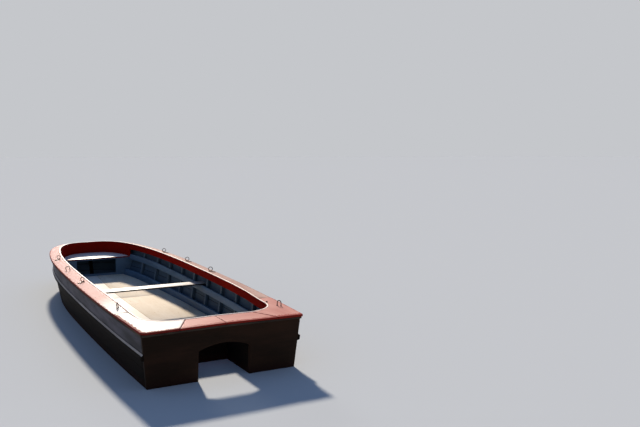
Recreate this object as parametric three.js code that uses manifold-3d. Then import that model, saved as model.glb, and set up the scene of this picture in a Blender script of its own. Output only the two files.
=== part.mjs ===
// Open flat-bottomed wooden work skiff with a bluff round bow, a square stern
// and a motor well cut through the transom.
// Millimetres. +X runs forward, +Y to port, +Z up. The origin is under the
// middle of the boat, on the plane of its flat bottom.
// Inside this file a place along the boat is a station: millimetres forward
// of the aft edge of the stern deck.

import * as THREE from 'three';
import { mergeVertices } from 'three/addons/utils/BufferGeometryUtils.js';
import Module from 'manifold-3d';

// Driving dimensions of the boat
const LENGTH = 6300;
const STERN_HALF_BEAM = 795;
const HALF_BEAM = 888;
const WIDEST_STATION = 2840;
const STERN_FULLNESS = 2.1;
const BOW_LENGTH_POWER = 2.68;
const BOW_WIDTH_POWER = 3.35;
const DECK_HEIGHT_AT_STERN = 603;
const SHEER_RISE = 94;
const SHEER_SPRING = -19;
const DECK_CROWN = 10;
const CROWN_END_HALF = 850;
const GAP = 0.3;
const BEDDING_GAP = 1.6;
const SEAM = 2.5;
const CUT_MARGIN = 100;
const CURVE_SAMPLES = 600;

// Bottom and sides
const BOTTOM_THICKNESS = 22;
const BOTTOM_RISE = 150;
const RISE_START_STATION = 3700;
const PLANK = 18;
const DECK_OVERHANG = 15;
const SIDE_LEAN_AT_STERN = 56;
const SIDE_LEAN_AMIDSHIPS = 94;
const STEM_RAKE = 261;
const CHINE_WIDTH_POWER = 2.6;
const STRAKE_SEAM_BELOW_DECK = 235;

// Transom: raked board with an arched cut-out for the motor
const TRANSOM_THICKNESS = 45;
const TRANSOM_RAKE = 0.09;
const TRANSOM_OVERHANG = 33;
const NOTCH_HALF_WIDTH = 255;
const NOTCH_SIDE_HEIGHT = 360;
const NOTCH_ARCH = 55;
const ARCH_STEPS = 10;

// Motor well behind the transom cut-out
const WELL_FRONT_STATION = 650;
const WELL_BOARD = 25;
const MOTOR_BOARD = 40;
const WELL_SIDE_TOP = 420;
const MOTOR_BOARD_TOP = 370;

// Stem post
const STEM_HALF_WIDTH = 30;
const STEM_PROUD = 12;
const STEM_DEPTH = 18;

// Deck boards
const DECK_THICKNESS = 20;
const QUARTER_THICKNESS = 22;
const SIDE_DECK_WIDTH = 147;
const BOW_DECK_WIDTH = 115;
const STERN_DECK_INNER_STATION = 298;
const INNER_CORNER_RADIUS = 340;
const QUARTER_END_STATION = 850;
const QUARTER_STATIONS = [250, 450, 650];
const BOW_DECK_START_STATION = 4900;
const WORN_CORNER_RADIUS = 60;
const SHARP_CORNER_RADIUS = 12;
const WORN_CORNER_STEPS = 6;

// Mouldings
const MOULDING_HEIGHT = 22;
const MOULDING_PROUD = 11;
const TRANSOM_MOULDING_PROUD = 28;
const RUB_TOP_BELOW_DECK = 200;
const RUB_HEIGHT = 70;
const RUB_PROUD = 25;
const RUB_BEVEL = 20;

// Coaming under the inner edge of the deck
const COAMING_THICKNESS = 18;
const COAMING_LIP = 2;
const COAMING_DEPTH = 95;
const COAMING_BELOW_FOREDECK = 12;

// Frames
const FRAME_COUNT = 9;
const FIRST_FRAME_STATION = 1165;
const FRAME_SPACING = 511;
const FRAME_WIDTH = 40;
const RIB_DEPTH = 45;
const DECK_ARM_DEPTH = 34;
const FRAME_GAP = 0.7;
const RIB_FACE = PLANK + FRAME_GAP + RIB_DEPTH;

// Inside fittings
const STRINGER_AT_STERN = 385;
const STRINGER_RISE = 129;
const STRINGER_HEIGHT = 80;
const STRINGER_BOW_RISE = 22;
const STRINGER_RISE_START = 4100;
const STRINGER_THICKNESS = 22;
const FLOOR_TOP = 120;
const FLOOR_THICKNESS = 18;
const AFT_END_STATION = 140;
const FLOOR_SEAM_STATIONS = [2350, 4050];
const BILGE_BOARD_THICKNESS = 30;
const BILGE_BOARD_TOP = 85;
const THWART_STATION = 2900;
const THWART_WIDTH = 200;
const THWART_THICKNESS = 18;
const THWART_END_GAP = 2;
const THWART_SEAT_GAP = 2.4;
const BULKHEAD_STATION = 5650;
const BULKHEAD_THICKNESS = 20;
const BULKHEAD_EDGE_GAP = 1.2;
const LOCKER_HALF_WIDTH = 305;
const LOCKER_BOTTOM = 238;
const LOCKER_TOP = 460;
const FOREDECK_TOP = 490;
const FOREDECK_SLOPE = 0.055;
const FOREDECK_THICKNESS = 18;
const NOSING_HEIGHT = 16;
const NOSING_THICKNESS = 22;

// Rope fittings on the side decks
const HOOP_ROD = 9;
const HOOP_WIDTH = 57;
const HOOP_HEIGHT = 60;
const HOOP_FOOT = 16;
const HOOP_FOOT_THICKNESS = 4;
const HOOP_STEPS = 10;
const HOOP_PATH_STEPS = 24;
const ROD_SEGMENTS = 4;
const HOOP_FOOT_SIDES = 12;
const RING_ROD = 8;
const RING_OUTER = 58;
const RING_TUBE_SIDES = 8;
const RING_STEPS = 24;
const RING_FOOT_LENGTH = 85;
const RING_FOOT_WIDTH = 28;
const RING_FOOT_THICKNESS = 6;
const RING_FOOT_TURN = 29;
const RING_SUNK = 2;

// side: 1 is port and -1 is starboard; turn is in degrees from the boat's length
const hoopTable = [
  { name: 'hoop_starboard_quarter', station: 430, inset: 80, side: -1, lift: 0.8, turn: 29 },
  { name: 'hoop_port_quarter', station: 1040, inset: 100, side: 1, lift: 1.6, turn: -29 },
  { name: 'hoop_port_forward', station: 3480, inset: 80, side: 1, lift: 0.6, turn: 90 },
];
const ringTable = [
  { name: 'ring_starboard_aft', station: 2580, inset: 95, side: -1, lift: 0.6 },
  { name: 'ring_starboard_middle', station: 3500, inset: 95, side: -1, lift: 0.6 },
  { name: 'ring_starboard_forward', station: 4480, inset: 95, side: -1, lift: 0.6 },
  { name: 'ring_port_aft', station: 2580, inset: 95, side: 1, lift: 0.6 },
  { name: 'ring_port_forward', station: 4480, inset: 95, side: 1, lift: 0.6 },
];

// Rise of the side deck from its outer to its inner edge, as [station, height]
const deckRiseTable = [[0, 4], [600, 4], [850, 8], [1200, 24], [1700, 28], [5000, 26], [LENGTH, 23]];

// Seams between the quarter pieces and the two stern boards, as half widths
const sternSeams = {
  port: { outer: 450, inner: 302 },
  starboard: { outer: 530, inner: 393 },
};

const SIDES = [
  { name: 'port', sign: 1 },
  { name: 'starboard', sign: -1 },
];

const paint = {
  deckRed: { color: 0xc98a80, roughness: 0.6, metalness: 0 },
  coamingRed: { color: 0x7a1c17, roughness: 0.55, metalness: 0 },
  hullBrown: { color: 0x2b1c17, roughness: 0.6, metalness: 0 },
  strakeGrey: { color: 0x8a8790, roughness: 0.6, metalness: 0 },
  mouldingGrey: { color: 0xb9b4ab, roughness: 0.7, metalness: 0 },
  insideBlue: { color: 0x5f7386, roughness: 0.65, metalness: 0 },
  floorWhite: { color: 0xd9d2c2, roughness: 0.75, metalness: 0 },
  bottomBrown: { color: 0x33231d, roughness: 0.8, metalness: 0 },
  rawSteel: { color: 0x4c4038, roughness: 0.5, metalness: 0.8 },
};

const wasm = await Module();
wasm.setup();

const boat = new THREE.Group();

// Heights of the deck edge, the deck surface and the flat bottom

function deckEdge(station) {
  const t = station / LENGTH;
  return DECK_HEIGHT_AT_STERN + SHEER_RISE * t + SHEER_SPRING * t * t;
}

function deckRise(station) {
  return valueAt(deckRiseTable, station);
}

// The stern deck rises to the centreline in one straight slope on each side
function crown(y) {
  return (DECK_CROWN * (CROWN_END_HALF - Math.abs(y))) / CROWN_END_HALF;
}

function sternSurface(station, y) {
  return deckEdge(station) + crown(y);
}

function quarterSurface(station, y) {
  return sternSurface(station, y) + QUARTER_THICKNESS - DECK_THICKNESS;
}

function bottomHeight(station) {
  const t = Math.max(0, station - RISE_START_STATION) / (LENGTH - RISE_START_STATION);
  return BOTTOM_RISE * t * t;
}

function floorHeight(station) {
  return FLOOR_TOP + bottomHeight(station);
}

function foredeckTop(station) {
  return FOREDECK_TOP + FOREDECK_SLOPE * (station - BULKHEAD_STATION - NOSING_THICKNESS - GAP);
}

// Outlines seen from above. The aft part swells from the stern to the widest
// station; the bow is a superellipse that closes at the tip.

function outline(sternHalf, middleHalf, tip, widthPower) {
  return { sternHalf, middleHalf, tip, widthPower };
}

function widthAt(line, station) {
  if (station <= WIDEST_STATION) {
    const t = 1 - station / WIDEST_STATION;
    return line.middleHalf - (line.middleHalf - line.sternHalf) * t ** STERN_FULLNESS;
  }
  const t = Math.min(1, (station - WIDEST_STATION) / (line.tip - WIDEST_STATION));
  return line.middleHalf * (1 - t ** BOW_LENGTH_POWER) ** (1 / line.widthPower);
}

const deckLine = outline(STERN_HALF_BEAM, HALF_BEAM, LENGTH, BOW_WIDTH_POWER);

function halfBeam(station) {
  return widthAt(deckLine, station);
}

function insetDeckLine(sideInset, bowInset) {
  return outline(
    STERN_HALF_BEAM - sideInset,
    HALF_BEAM - sideInset,
    LENGTH - bowInset,
    BOW_WIDTH_POWER,
  );
}

// Points of a bow outline from a station round to a distance off the
// centreline, evenly spaced along the curve
function bowPoints(line, fromStation, endHalf, count) {
  const dense = [[fromStation, widthAt(line, fromStation)]];
  for (let i = 1; i < CURVE_SAMPLES; i += 1) {
    const angle = (Math.PI / 2) * (i / CURVE_SAMPLES);
    const along = Math.sin(angle) ** (2 / BOW_LENGTH_POWER);
    const station = WIDEST_STATION + (line.tip - WIDEST_STATION) * along;
    const half = line.middleHalf * Math.cos(angle) ** (2 / line.widthPower);
    if (station > fromStation && half > endHalf) {
      dense.push([station, half]);
    }
  }
  dense.push([line.tip, endHalf]);
  const path = new THREE.CurvePath();
  for (let i = 1; i < dense.length; i += 1) {
    const from = new THREE.Vector2(...dense[i - 1]);
    path.add(new THREE.LineCurve(from, new THREE.Vector2(...dense[i])));
  }
  const points = [];
  for (let i = 0; i <= count; i += 1) {
    const point = path.getPointAt(i / count);
    points.push([point.x, point.y]);
  }
  return points;
}

// Lines of points in plan. Each is [station, half width], from aft forward
// and then round the bow to the centreline.

// Moves a line outboard by a distance, so that its straight pieces stay parallel
function movedLine(points, distance) {
  const normals = [];
  for (let i = 1; i < points.length; i += 1) {
    const along = points[i][0] - points[i - 1][0];
    const across = points[i][1] - points[i - 1][1];
    const length = Math.hypot(along, across);
    normals.push([-across / length, along / length]);
  }
  return points.map(([s, y], i) => {
    const before = normals[Math.max(0, i - 1)];
    const after = i === points.length - 1 ? [1, 0] : normals[i];
    const sum = [before[0] + after[0], before[1] + after[1]];
    const scale = 2 / (sum[0] ** 2 + sum[1] ** 2);
    return [s + sum[0] * scale * distance, y + sum[1] * scale * distance];
  });
}

// The piece of a line between two values of its station (axis 0) or half width (axis 1)
function slice(points, axis, from, to) {
  const [low, high] = [Math.min(from, to), Math.max(from, to)];
  const kept = [];
  for (let i = 0; i < points.length; i += 1) {
    if (i > 0) {
      const [a, b] = [points[i - 1], points[i]];
      const crossings = [from, to].map((value) => (value - a[axis]) / (b[axis] - a[axis]));
      for (const t of crossings.filter((u) => u > 0 && u < 1).sort((u, v) => u - v)) {
        kept.push([a[0] + (b[0] - a[0]) * t, a[1] + (b[1] - a[1]) * t]);
      }
    }
    if (points[i][axis] >= low && points[i][axis] <= high) {
      kept.push(points[i]);
    }
  }
  return kept;
}

// The second number of a row of [station, value] points, worked out for any station
function valueAt(points, station) {
  for (let i = 1; i < points.length; i += 1) {
    if (station <= points[i][0] || i === points.length - 1) {
      const t = (station - points[i - 1][0]) / (points[i][0] - points[i - 1][0]);
      return points[i - 1][1] + (points[i][1] - points[i - 1][1]) * t;
    }
  }
  return 0;
}

function frameStation(index) {
  return FIRST_FRAME_STATION + FRAME_SPACING * index;
}

const SPLIT_STATION = 5300;
const BOW_STEPS = 14;
const sideStations = [450, QUARTER_END_STATION, 1000];
for (let i = 0; i < FRAME_COUNT; i += 1) {
  sideStations.push(frameStation(i) - FRAME_WIDTH / 2, frameStation(i) + FRAME_WIDTH / 2);
}
sideStations.push(SPLIT_STATION);

// Hull sides are ruled from the chine up to the deck. A ruling holds the two
// ends of one straight line of the side, at an inset from the outer surface.

function transomAft(z) {
  return TRANSOM_OVERHANG + TRANSOM_RAKE * (DECK_HEIGHT_AT_STERN - z);
}

function transomFront(z) {
  return transomAft(z) + TRANSOM_THICKNESS;
}

// Underside of the side deck above the outer face of the planks
function deckUnder(station) {
  const rise = (deckRise(station) * DECK_OVERHANG) / SIDE_DECK_WIDTH;
  return deckEdge(station) - DECK_THICKNESS + rise;
}

const sheerLine = insetDeckLine(DECK_OVERHANG, DECK_OVERHANG);
const chineLine = outline(
  STERN_HALF_BEAM - DECK_OVERHANG - SIDE_LEAN_AT_STERN,
  HALF_BEAM - DECK_OVERHANG - SIDE_LEAN_AMIDSHIPS,
  LENGTH - DECK_OVERHANG - STEM_RAKE,
  CHINE_WIDTH_POWER,
);

function hullEdge(line, aftStation) {
  const points = [aftStation, ...sideStations].map((s) => [s, widthAt(line, s)]);
  const bow = bowPoints(line, SPLIT_STATION, STEM_HALF_WIDTH + GAP, BOW_STEPS);
  return points.concat(bow.slice(1));
}

// Abreast of the frames an inset moves straight inboard, so that stations stay
function insetEdge(points, inset) {
  const moved = movedLine(points, -inset);
  return points.map(([s, y], i) => {
    if (s <= SPLIT_STATION) {
      return [s, y - inset];
    }
    return i === points.length - 1 ? [s - inset, y] : moved[i];
  });
}

const chineEdge = hullEdge(chineLine, transomFront(0) + GAP);
const sheerEdge = hullEdge(sheerLine, transomFront(deckUnder(0)) + GAP);
const rulingCache = new Map();

function hullRulings(inset) {
  if (!rulingCache.has(inset)) {
    const low = insetEdge(chineEdge, inset);
    const high = insetEdge(sheerEdge, inset);
    const lines = low.map(([s, y], i) => ({
      low: new THREE.Vector3(s, y, bottomHeight(chineEdge[i][0])),
      high: new THREE.Vector3(high[i][0], high[i][1], deckUnder(sheerEdge[i][0])),
    }));
    rulingCache.set(inset, lines);
  }
  return rulingCache.get(inset);
}

function onRuling(line, z) {
  const t = (z - line.low.z) / (line.high.z - line.low.z);
  return new THREE.Vector3().lerpVectors(line.low, line.high, t);
}

// Half width of the hull at a station and height, on the flat facets of the planks
function hullHalf(inset, station, z) {
  const level = hullRulings(inset).map((line) => {
    const point = onRuling(line, z);
    return [point.x, point.y];
  });
  return valueAt(level, station);
}

// Solid building from rings of points

function bodyGeometry(positions, triangles) {
  const geometry = new THREE.BufferGeometry();
  geometry.setAttribute('position', new THREE.Float32BufferAttribute(positions, 3));
  geometry.setIndex(triangles);
  return geometry;
}

function signedVolume(points, triangles) {
  let total = 0;
  for (let i = 0; i < triangles.length; i += 3) {
    const [a, b, c] = [points[triangles[i]], points[triangles[i + 1]], points[triangles[i + 2]]];
    total += a.dot(new THREE.Vector3().crossVectors(b, c));
  }
  return total / 6;
}

function solidFrom(points, triangles) {
  if (signedVolume(points, triangles) < 0) {
    for (let i = 0; i < triangles.length; i += 3) {
      [triangles[i + 1], triangles[i + 2]] = [triangles[i + 2], triangles[i + 1]];
    }
  }
  const positions = points.flatMap((p) => [p.x - LENGTH / 2, p.y, p.z]);
  return bodyGeometry(positions, triangles);
}

// Triangles of one flat ring, projected along the axis that it faces most
function capTriangles(ring) {
  const normal = new THREE.Vector3();
  ring.forEach((p, i) => {
    const q = ring[(i + 1) % ring.length];
    normal.x += (p.y - q.y) * (p.z + q.z);
    normal.y += (p.z - q.z) * (p.x + q.x);
    normal.z += (p.x - q.x) * (p.y + q.y);
  });
  const [ax, ay, az] = normal.toArray().map(Math.abs);
  const flat = ring.map((p) => {
    if (ax >= ay && ax >= az) {
      return new THREE.Vector2(p.y, p.z);
    }
    return ay >= az ? new THREE.Vector2(p.z, p.x) : new THREE.Vector2(p.x, p.y);
  });
  const turned = THREE.ShapeUtils.isClockWise(flat);
  const order = flat.map((_, i) => (turned ? flat.length - 1 - i : i));
  const faces = THREE.ShapeUtils.triangulateShape(order.map((i) => flat[i]), []);
  return faces.map((face) => {
    const mapped = face.map((i) => order[i]);
    return turned ? mapped.reverse() : mapped;
  });
}

// A closed body through a row of rings that have the same number of points
function loft(rings) {
  const size = rings[0].length;
  const points = rings.flat();
  const triangles = [];
  for (let r = 0; r + 1 < rings.length; r += 1) {
    for (let i = 0; i < size; i += 1) {
      const a = r * size + i;
      const b = r * size + ((i + 1) % size);
      triangles.push(a, b, b + size, a, b + size, a + size);
    }
  }
  const last = (rings.length - 1) * size;
  for (const [a, b, c] of capTriangles(rings[0])) {
    triangles.push(a, c, b);
    triangles.push(last + a, last + b, last + c);
  }
  return solidFrom(points, triangles);
}

// A board seen from above: an outline of [station, y] pairs whose top follows
// a height function and whose underside lies one thickness lower
function board(outlinePoints, topHeight, thickness) {
  const top = outlinePoints.map(([s, y]) => new THREE.Vector3(s, y, topHeight(s, y)));
  const low = top.map((p) => new THREE.Vector3(p.x, p.y, p.z - thickness));
  return loft([low, top]);
}

// A beam with a four-cornered section of [y, z] corners at each station
function beam(stations, section) {
  return loft(stations.map((s) => section(s).map(([y, z]) => new THREE.Vector3(s, y, z))));
}

function boxBetween(low, high) {
  const size = new THREE.Vector3().subVectors(high, low);
  const geometry = new THREE.BoxGeometry(size.x, size.y, size.z);
  const middle = new THREE.Vector3().addVectors(low, high).multiplyScalar(0.5);
  geometry.translate(middle.x - LENGTH / 2, middle.y, middle.z);
  return geometry;
}

function toSolid(geometry) {
  const bare = geometry.clone();
  bare.deleteAttribute('normal');
  bare.deleteAttribute('uv');
  const merged = mergeVertices(bare, 1e-3);
  const vertProperties = new Float32Array(merged.attributes.position.array);
  const triVerts = new Uint32Array(merged.index.array);
  return new wasm.Manifold(new wasm.Mesh({ numProp: 3, vertProperties, triVerts }));
}

function fromSolid(solid) {
  const mesh = solid.getMesh();
  return bodyGeometry(Array.from(mesh.vertProperties), Array.from(mesh.triVerts));
}

function cut(geometry, tool) {
  return fromSolid(toSolid(geometry).subtract(toSolid(tool)));
}

function join(geometries) {
  const solids = geometries.map(toSolid);
  return fromSolid(solids.reduce((sum, solid) => sum.add(solid)));
}

function addPart(name, geometry, finish) {
  const mesh = new THREE.Mesh(geometry, new THREE.MeshStandardMaterial(finish));
  mesh.name = name;
  boat.add(mesh);
  return mesh;
}

function mirrored(points, sign) {
  return points.map(([s, y]) => [s, y * sign]);
}

// A strip that follows the hull side. Each corner of its section names an
// inset from the outer surface and a height worked out from the ruling. A
// strip outside the planks runs on over the end of the transom.
function hullStrip(sign, corners, coversTransom) {
  const count = hullRulings(0).length;
  const rings = [];
  for (let i = 0; i < count; i += 1) {
    rings.push(corners.map(({ inset, height }) => {
      const line = hullRulings(inset)[i];
      const point = onRuling(line, height(line, inset));
      return new THREE.Vector3(point.x, point.y * sign, point.z);
    }));
  }
  if (coversTransom) {
    rings.unshift(rings[0].map((p) => new THREE.Vector3(transomAft(p.z), p.y, p.z)));
  }
  return loft(rings);
}

// Bottom planking, cut away for the motor well
function buildBottom() {
  const rings = hullRulings(0).map((line) => {
    const top = onRuling(line, line.low.z + BOTTOM_THICKNESS);
    return [
      new THREE.Vector3(line.low.x, -line.low.y, line.low.z),
      line.low.clone(),
      top,
      new THREE.Vector3(top.x, -top.y, top.z),
    ];
  });
  const aft = rings[0].map((p) => new THREE.Vector3(transomAft(p.z), p.y, p.z));
  const wellCut = boxBetween(
    new THREE.Vector3(-CUT_MARGIN, -NOTCH_HALF_WIDTH, -CUT_MARGIN),
    new THREE.Vector3(WELL_FRONT_STATION, NOTCH_HALF_WIDTH, CUT_MARGIN),
  );
  addPart('bottom_planking', cut(loft([aft, ...rings]), wellCut), paint.bottomBrown);
}

// Heights on one ruling, from the bottom planking up to the deck, which slopes up inboard
const plankBottom = (line) => line.low.z + BOTTOM_THICKNESS + GAP;
const strakeSeam = (line) => line.high.z + DECK_THICKNESS - STRAKE_SEAM_BELOW_DECK;
const plankTop = (line, inset) => (
  line.high.z - BEDDING_GAP + (deckRise(line.high.x) * inset) / SIDE_DECK_WIDTH
);
const rubTop = (line) => line.high.z + DECK_THICKNESS - RUB_TOP_BELOW_DECK;
const rubLow = (line) => rubTop(line) - RUB_HEIGHT;
const mouldingLow = (line, inset) => plankTop(line, inset) - MOULDING_HEIGHT;
const lowerMiddle = (line) => (plankBottom(line) + rubLow(line)) / 2;
const seamUnder = (line) => strakeSeam(line) - GAP;

// A plank between two insets, with a corner at each height
function plankStrip(sign, heights) {
  const outer = heights.map((height) => ({ inset: 0, height }));
  const inner = heights.map((height) => ({ inset: PLANK, height })).reverse();
  return hullStrip(sign, [...outer, ...inner], false);
}

function buildSides() {
  for (const { name, sign } of SIDES) {
    const lower = plankStrip(sign, [plankBottom, lowerMiddle, rubLow, seamUnder]);
    addPart(`lower_side_${name}`, lower, paint.hullBrown);
    const upper = plankStrip(sign, [strakeSeam, rubTop, mouldingLow, plankTop]);
    addPart(`upper_side_${name}`, upper, paint.strakeGrey);
    const rub = hullStrip(sign, [
      { inset: -GAP, height: rubLow },
      { inset: -GAP, height: seamUnder },
      { inset: -GAP, height: strakeSeam },
      { inset: -GAP, height: rubTop },
      { inset: -RUB_PROUD, height: (line) => rubTop(line) - RUB_BEVEL },
      { inset: -RUB_PROUD, height: (line) => rubLow(line) + RUB_BEVEL / 2 },
    ], true);
    addPart(`rub_strake_${name}`, rub, paint.hullBrown);
    const moulding = hullStrip(sign, [
      { inset: -GAP, height: mouldingLow },
      { inset: -GAP, height: plankTop },
      { inset: -MOULDING_PROUD, height: plankTop },
      { inset: -MOULDING_PROUD, height: mouldingLow },
    ], true);
    addPart(`sheer_moulding_${name}`, moulding, paint.mouldingGrey);
  }
}

// The transom's own half width at a height, flush with the planks
function transomHalf(z) {
  return onRuling(hullRulings(0)[0], z).y;
}

function transomTop(y) {
  return sternSurface(0, y) - DECK_THICKNESS - GAP;
}

function buildTransom() {
  const base = BOTTOM_THICKNESS + GAP;
  const section = [[-transomHalf(base), base], [-NOTCH_HALF_WIDTH, base]];
  for (let i = 0; i <= ARCH_STEPS; i += 1) {
    const across = -1 + (2 * i) / ARCH_STEPS;
    const z = NOTCH_SIDE_HEIGHT + NOTCH_ARCH * (1 - across * across);
    section.push([NOTCH_HALF_WIDTH * across, z]);
  }
  section.push([NOTCH_HALF_WIDTH, base], [transomHalf(base), base]);
  const topHalf = transomHalf(transomTop(transomHalf(DECK_HEIGHT_AT_STERN)));
  const acrossTop = [topHalf, 0, -topHalf];
  section.push(...acrossTop.map((y) => [y, transomTop(y)]));
  const aft = section.map(([y, z]) => new THREE.Vector3(transomAft(z), y, z));
  const front = section.map(([y, z]) => new THREE.Vector3(transomFront(z), y, z));
  addPart('transom', loft([aft, front]), paint.hullBrown);

  const rings = acrossTop.map((y) => {
    const top = transomTop(y);
    const low = top - MOULDING_HEIGHT;
    const proud = transomAft(low) - TRANSOM_MOULDING_PROUD;
    return [
      new THREE.Vector3(transomAft(low) - GAP, y, low),
      new THREE.Vector3(proud, y, low),
      new THREE.Vector3(proud, y, top),
      new THREE.Vector3(transomAft(top) - GAP, y, top),
    ];
  });
  addPart('transom_moulding', loft(rings), paint.mouldingGrey);
}

// Stem post between the ends of the planks, raked like the bow
function buildStem() {
  const lines = hullRulings(0);
  const bow = lines[lines.length - 1];
  const low = bottomHeight(bow.low.x) + BOTTOM_THICKNESS + GAP;
  const high = plankTop(bow, -STEM_PROUD);
  const foot = onRuling(bow, low).x;
  const head = onRuling(bow, high).x;
  const profile = [
    [foot - STEM_DEPTH, low],
    [foot + STEM_PROUD, low],
    [head + STEM_PROUD, high],
    [head - STEM_DEPTH, high],
  ];
  const rings = [-STEM_HALF_WIDTH, STEM_HALF_WIDTH].map((y) => (
    profile.map(([s, z]) => new THREE.Vector3(s, y, z))
  ));
  addPart('stem', loft(rings), paint.hullBrown);
}

// Inner edge of the deck: straight at the stern, round corners, then along
// the sides and round the bow. Each edge is a line of [station, half width].
const innerOutline = insetDeckLine(SIDE_DECK_WIDTH, BOW_DECK_WIDTH);
const CORNER_STEPS = 10;
const cornerEnd = STERN_DECK_INNER_STATION + INNER_CORNER_RADIUS;
const cornerCentreY = widthAt(innerOutline, cornerEnd) - INNER_CORNER_RADIUS;

function sideAndBow(line, fromStation) {
  const stations = sideStations.filter((s) => s > fromStation);
  const points = stations.map((s) => [s, widthAt(line, s)]);
  return points.concat(bowPoints(line, SPLIT_STATION, 0, BOW_STEPS).slice(1));
}

const innerEdge = [[STERN_DECK_INNER_STATION, 0]];
for (let i = 0; i <= CORNER_STEPS; i += 1) {
  const angle = (Math.PI / 2) * (i / CORNER_STEPS);
  const station = cornerEnd - INNER_CORNER_RADIUS * Math.cos(angle);
  innerEdge.push([station, cornerCentreY + INNER_CORNER_RADIUS * Math.sin(angle)]);
}
innerEdge.push(...sideAndBow(innerOutline, cornerEnd + 1));
const outerEdge = [[0, halfBeam(0)], ...sideAndBow(deckLine, 1)];

// The stern corner of the inner edge, where the half width keeps growing
const cornerPart = innerEdge.slice(0, CORNER_STEPS + 2);

function quarterOutline(seam, radius) {
  const points = [[0, seam.outer]];
  const cornerY = halfBeam(radius);
  for (let i = 0; i <= WORN_CORNER_STEPS; i += 1) {
    const angle = (Math.PI / 2) * (i / WORN_CORNER_STEPS);
    points.push([radius * (1 - Math.cos(angle)), cornerY - radius * (1 - Math.sin(angle))]);
  }
  const end = QUARTER_END_STATION - SEAM;
  for (const station of [...QUARTER_STATIONS, end]) {
    points.push([station, halfBeam(station)]);
  }
  points.push([end, valueAt(innerEdge, end)]);
  const corner = slice(cornerPart, 1, seam.inner, HALF_BEAM).reverse();
  return points.concat(corner);
}

function sternOutline(seam) {
  const inner = slice(cornerPart, 1, SEAM / 2, seam.inner - SEAM).reverse();
  return [[0, SEAM / 2], [0, seam.outer - SEAM], ...inner];
}

// A flat ring of two outer and two inner corners under a stretch of deck
function deckRing(outer, inner, sign) {
  const edge = deckEdge(outer[0]);
  const rim = deckEdge(inner[0]) + deckRise(inner[0]);
  return [
    new THREE.Vector3(outer[0], outer[1] * sign, edge),
    new THREE.Vector3(inner[0], inner[1] * sign, rim),
    new THREE.Vector3(inner[0], inner[1] * sign, rim - DECK_THICKNESS),
    new THREE.Vector3(outer[0], outer[1] * sign, edge - DECK_THICKNESS),
  ];
}

// Deck boards: two quarter pieces, two stern boards, side decks and bow decks
function buildDeck() {
  const cornerRadii = { port: WORN_CORNER_RADIUS, starboard: SHARP_CORNER_RADIUS };
  for (const { name, sign } of SIDES) {
    const seam = sternSeams[name];
    const quarter = mirrored(quarterOutline(seam, cornerRadii[name]), sign);
    const quarterBoard = board(quarter, quarterSurface, QUARTER_THICKNESS);
    addPart(`quarter_deck_${name}`, quarterBoard, paint.deckRed);

    const stern = mirrored(sternOutline(seam), sign);
    addPart(`stern_deck_${name}`, board(stern, sternSurface, DECK_THICKNESS), paint.deckRed);

    const bowStart = BOW_DECK_START_STATION;
    const outerSide = slice(outerEdge, 0, QUARTER_END_STATION, bowStart - SEAM);
    const sideDeck = outerSide.map((outer) => (
      deckRing(outer, [outer[0], valueAt(innerEdge, outer[0])], sign)
    ));
    addPart(`side_deck_${name}`, loft(sideDeck), paint.deckRed);

    const outerBow = slice(slice(outerEdge, 0, bowStart, LENGTH), 1, SEAM / 2, HALF_BEAM);
    const innerBow = slice(slice(innerEdge, 0, bowStart, LENGTH), 1, SEAM / 2, HALF_BEAM);
    const bowDeck = outerBow.map((outer, i) => deckRing(outer, innerBow[i], sign));
    addPart(`bow_deck_${name}`, loft(bowDeck), paint.deckRed);
  }
}

// Coaming: a board on edge against the inner edge of the deck, bent round the stern and the bow
function coamingRing(outer, inner, top, depth, sign) {
  return [
    new THREE.Vector3(outer[0], outer[1] * sign, top),
    new THREE.Vector3(inner[0], inner[1] * sign, top),
    new THREE.Vector3(inner[0], inner[1] * sign, top - depth),
    new THREE.Vector3(outer[0], outer[1] * sign, top - depth),
  ];
}

function rimHeight([station, y]) {
  const side = deckEdge(station) + deckRise(station);
  const quarter = station > QUARTER_END_STATION ? side : quarterSurface(station, y);
  return Math.max(side, quarter) + COAMING_LIP;
}

const coamingOuter = movedLine(innerEdge, -GAP);
const coamingInner = movedLine(innerEdge, -GAP - COAMING_THICKNESS);

function buildCoaming() {
  const bulkhead = BULKHEAD_STATION;
  for (const { name, sign } of SIDES) {
    const outer = slice(coamingOuter, 0, cornerEnd + SEAM, bulkhead - GAP);
    const inner = slice(coamingInner, 0, cornerEnd + SEAM, bulkhead - GAP);
    const rings = outer.map((point, i) => (
      coamingRing(point, inner[i], rimHeight(point), COAMING_DEPTH, sign)
    ));
    addPart(`coaming_${name}`, loft(rings), paint.coamingRed);
  }

  const across = (outer, inner, depthAt) => {
    const ring = (i, sign) => {
      const top = rimHeight(outer[i]);
      return coamingRing(outer[i], inner[i], top, depthAt(outer[i][0], top), sign);
    };
    const portRings = outer.map((_, i) => ring(i, 1));
    const starboardRings = outer.map((_, i) => ring(i, -1));
    return [portRings, starboardRings];
  };
  const bowOuter = slice(coamingOuter, 0, bulkhead, LENGTH);
  const bowInner = slice(coamingInner, 0, bulkhead, LENGTH);
  const toForedeck = (station, top) => top - foredeckTop(station) + COAMING_BELOW_FOREDECK;
  const [bowPort, bowStarboard] = across(bowOuter, bowInner, toForedeck);
  const bowRings = [...bowPort, ...bowStarboard.reverse().slice(1)];
  addPart('coaming_bow', loft(bowRings), paint.coamingRed);

  const sternOuter = coamingOuter.slice(0, CORNER_STEPS + 2);
  const sternInner = coamingInner.slice(0, CORNER_STEPS + 2);
  const [sternPort, sternStarboard] = across(sternOuter, sternInner, () => COAMING_DEPTH);
  const sternRings = [...sternStarboard.reverse(), ...sternPort.slice(1)];
  addPart('coaming_stern', loft(sternRings), paint.coamingRed);
}

// Evenly spaced heights between two, for edges that follow the ruled side
function levels(from, to) {
  return [0, 0.25, 0.5, 0.75, 1].map((t) => from + (to - from) * t);
}

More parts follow.
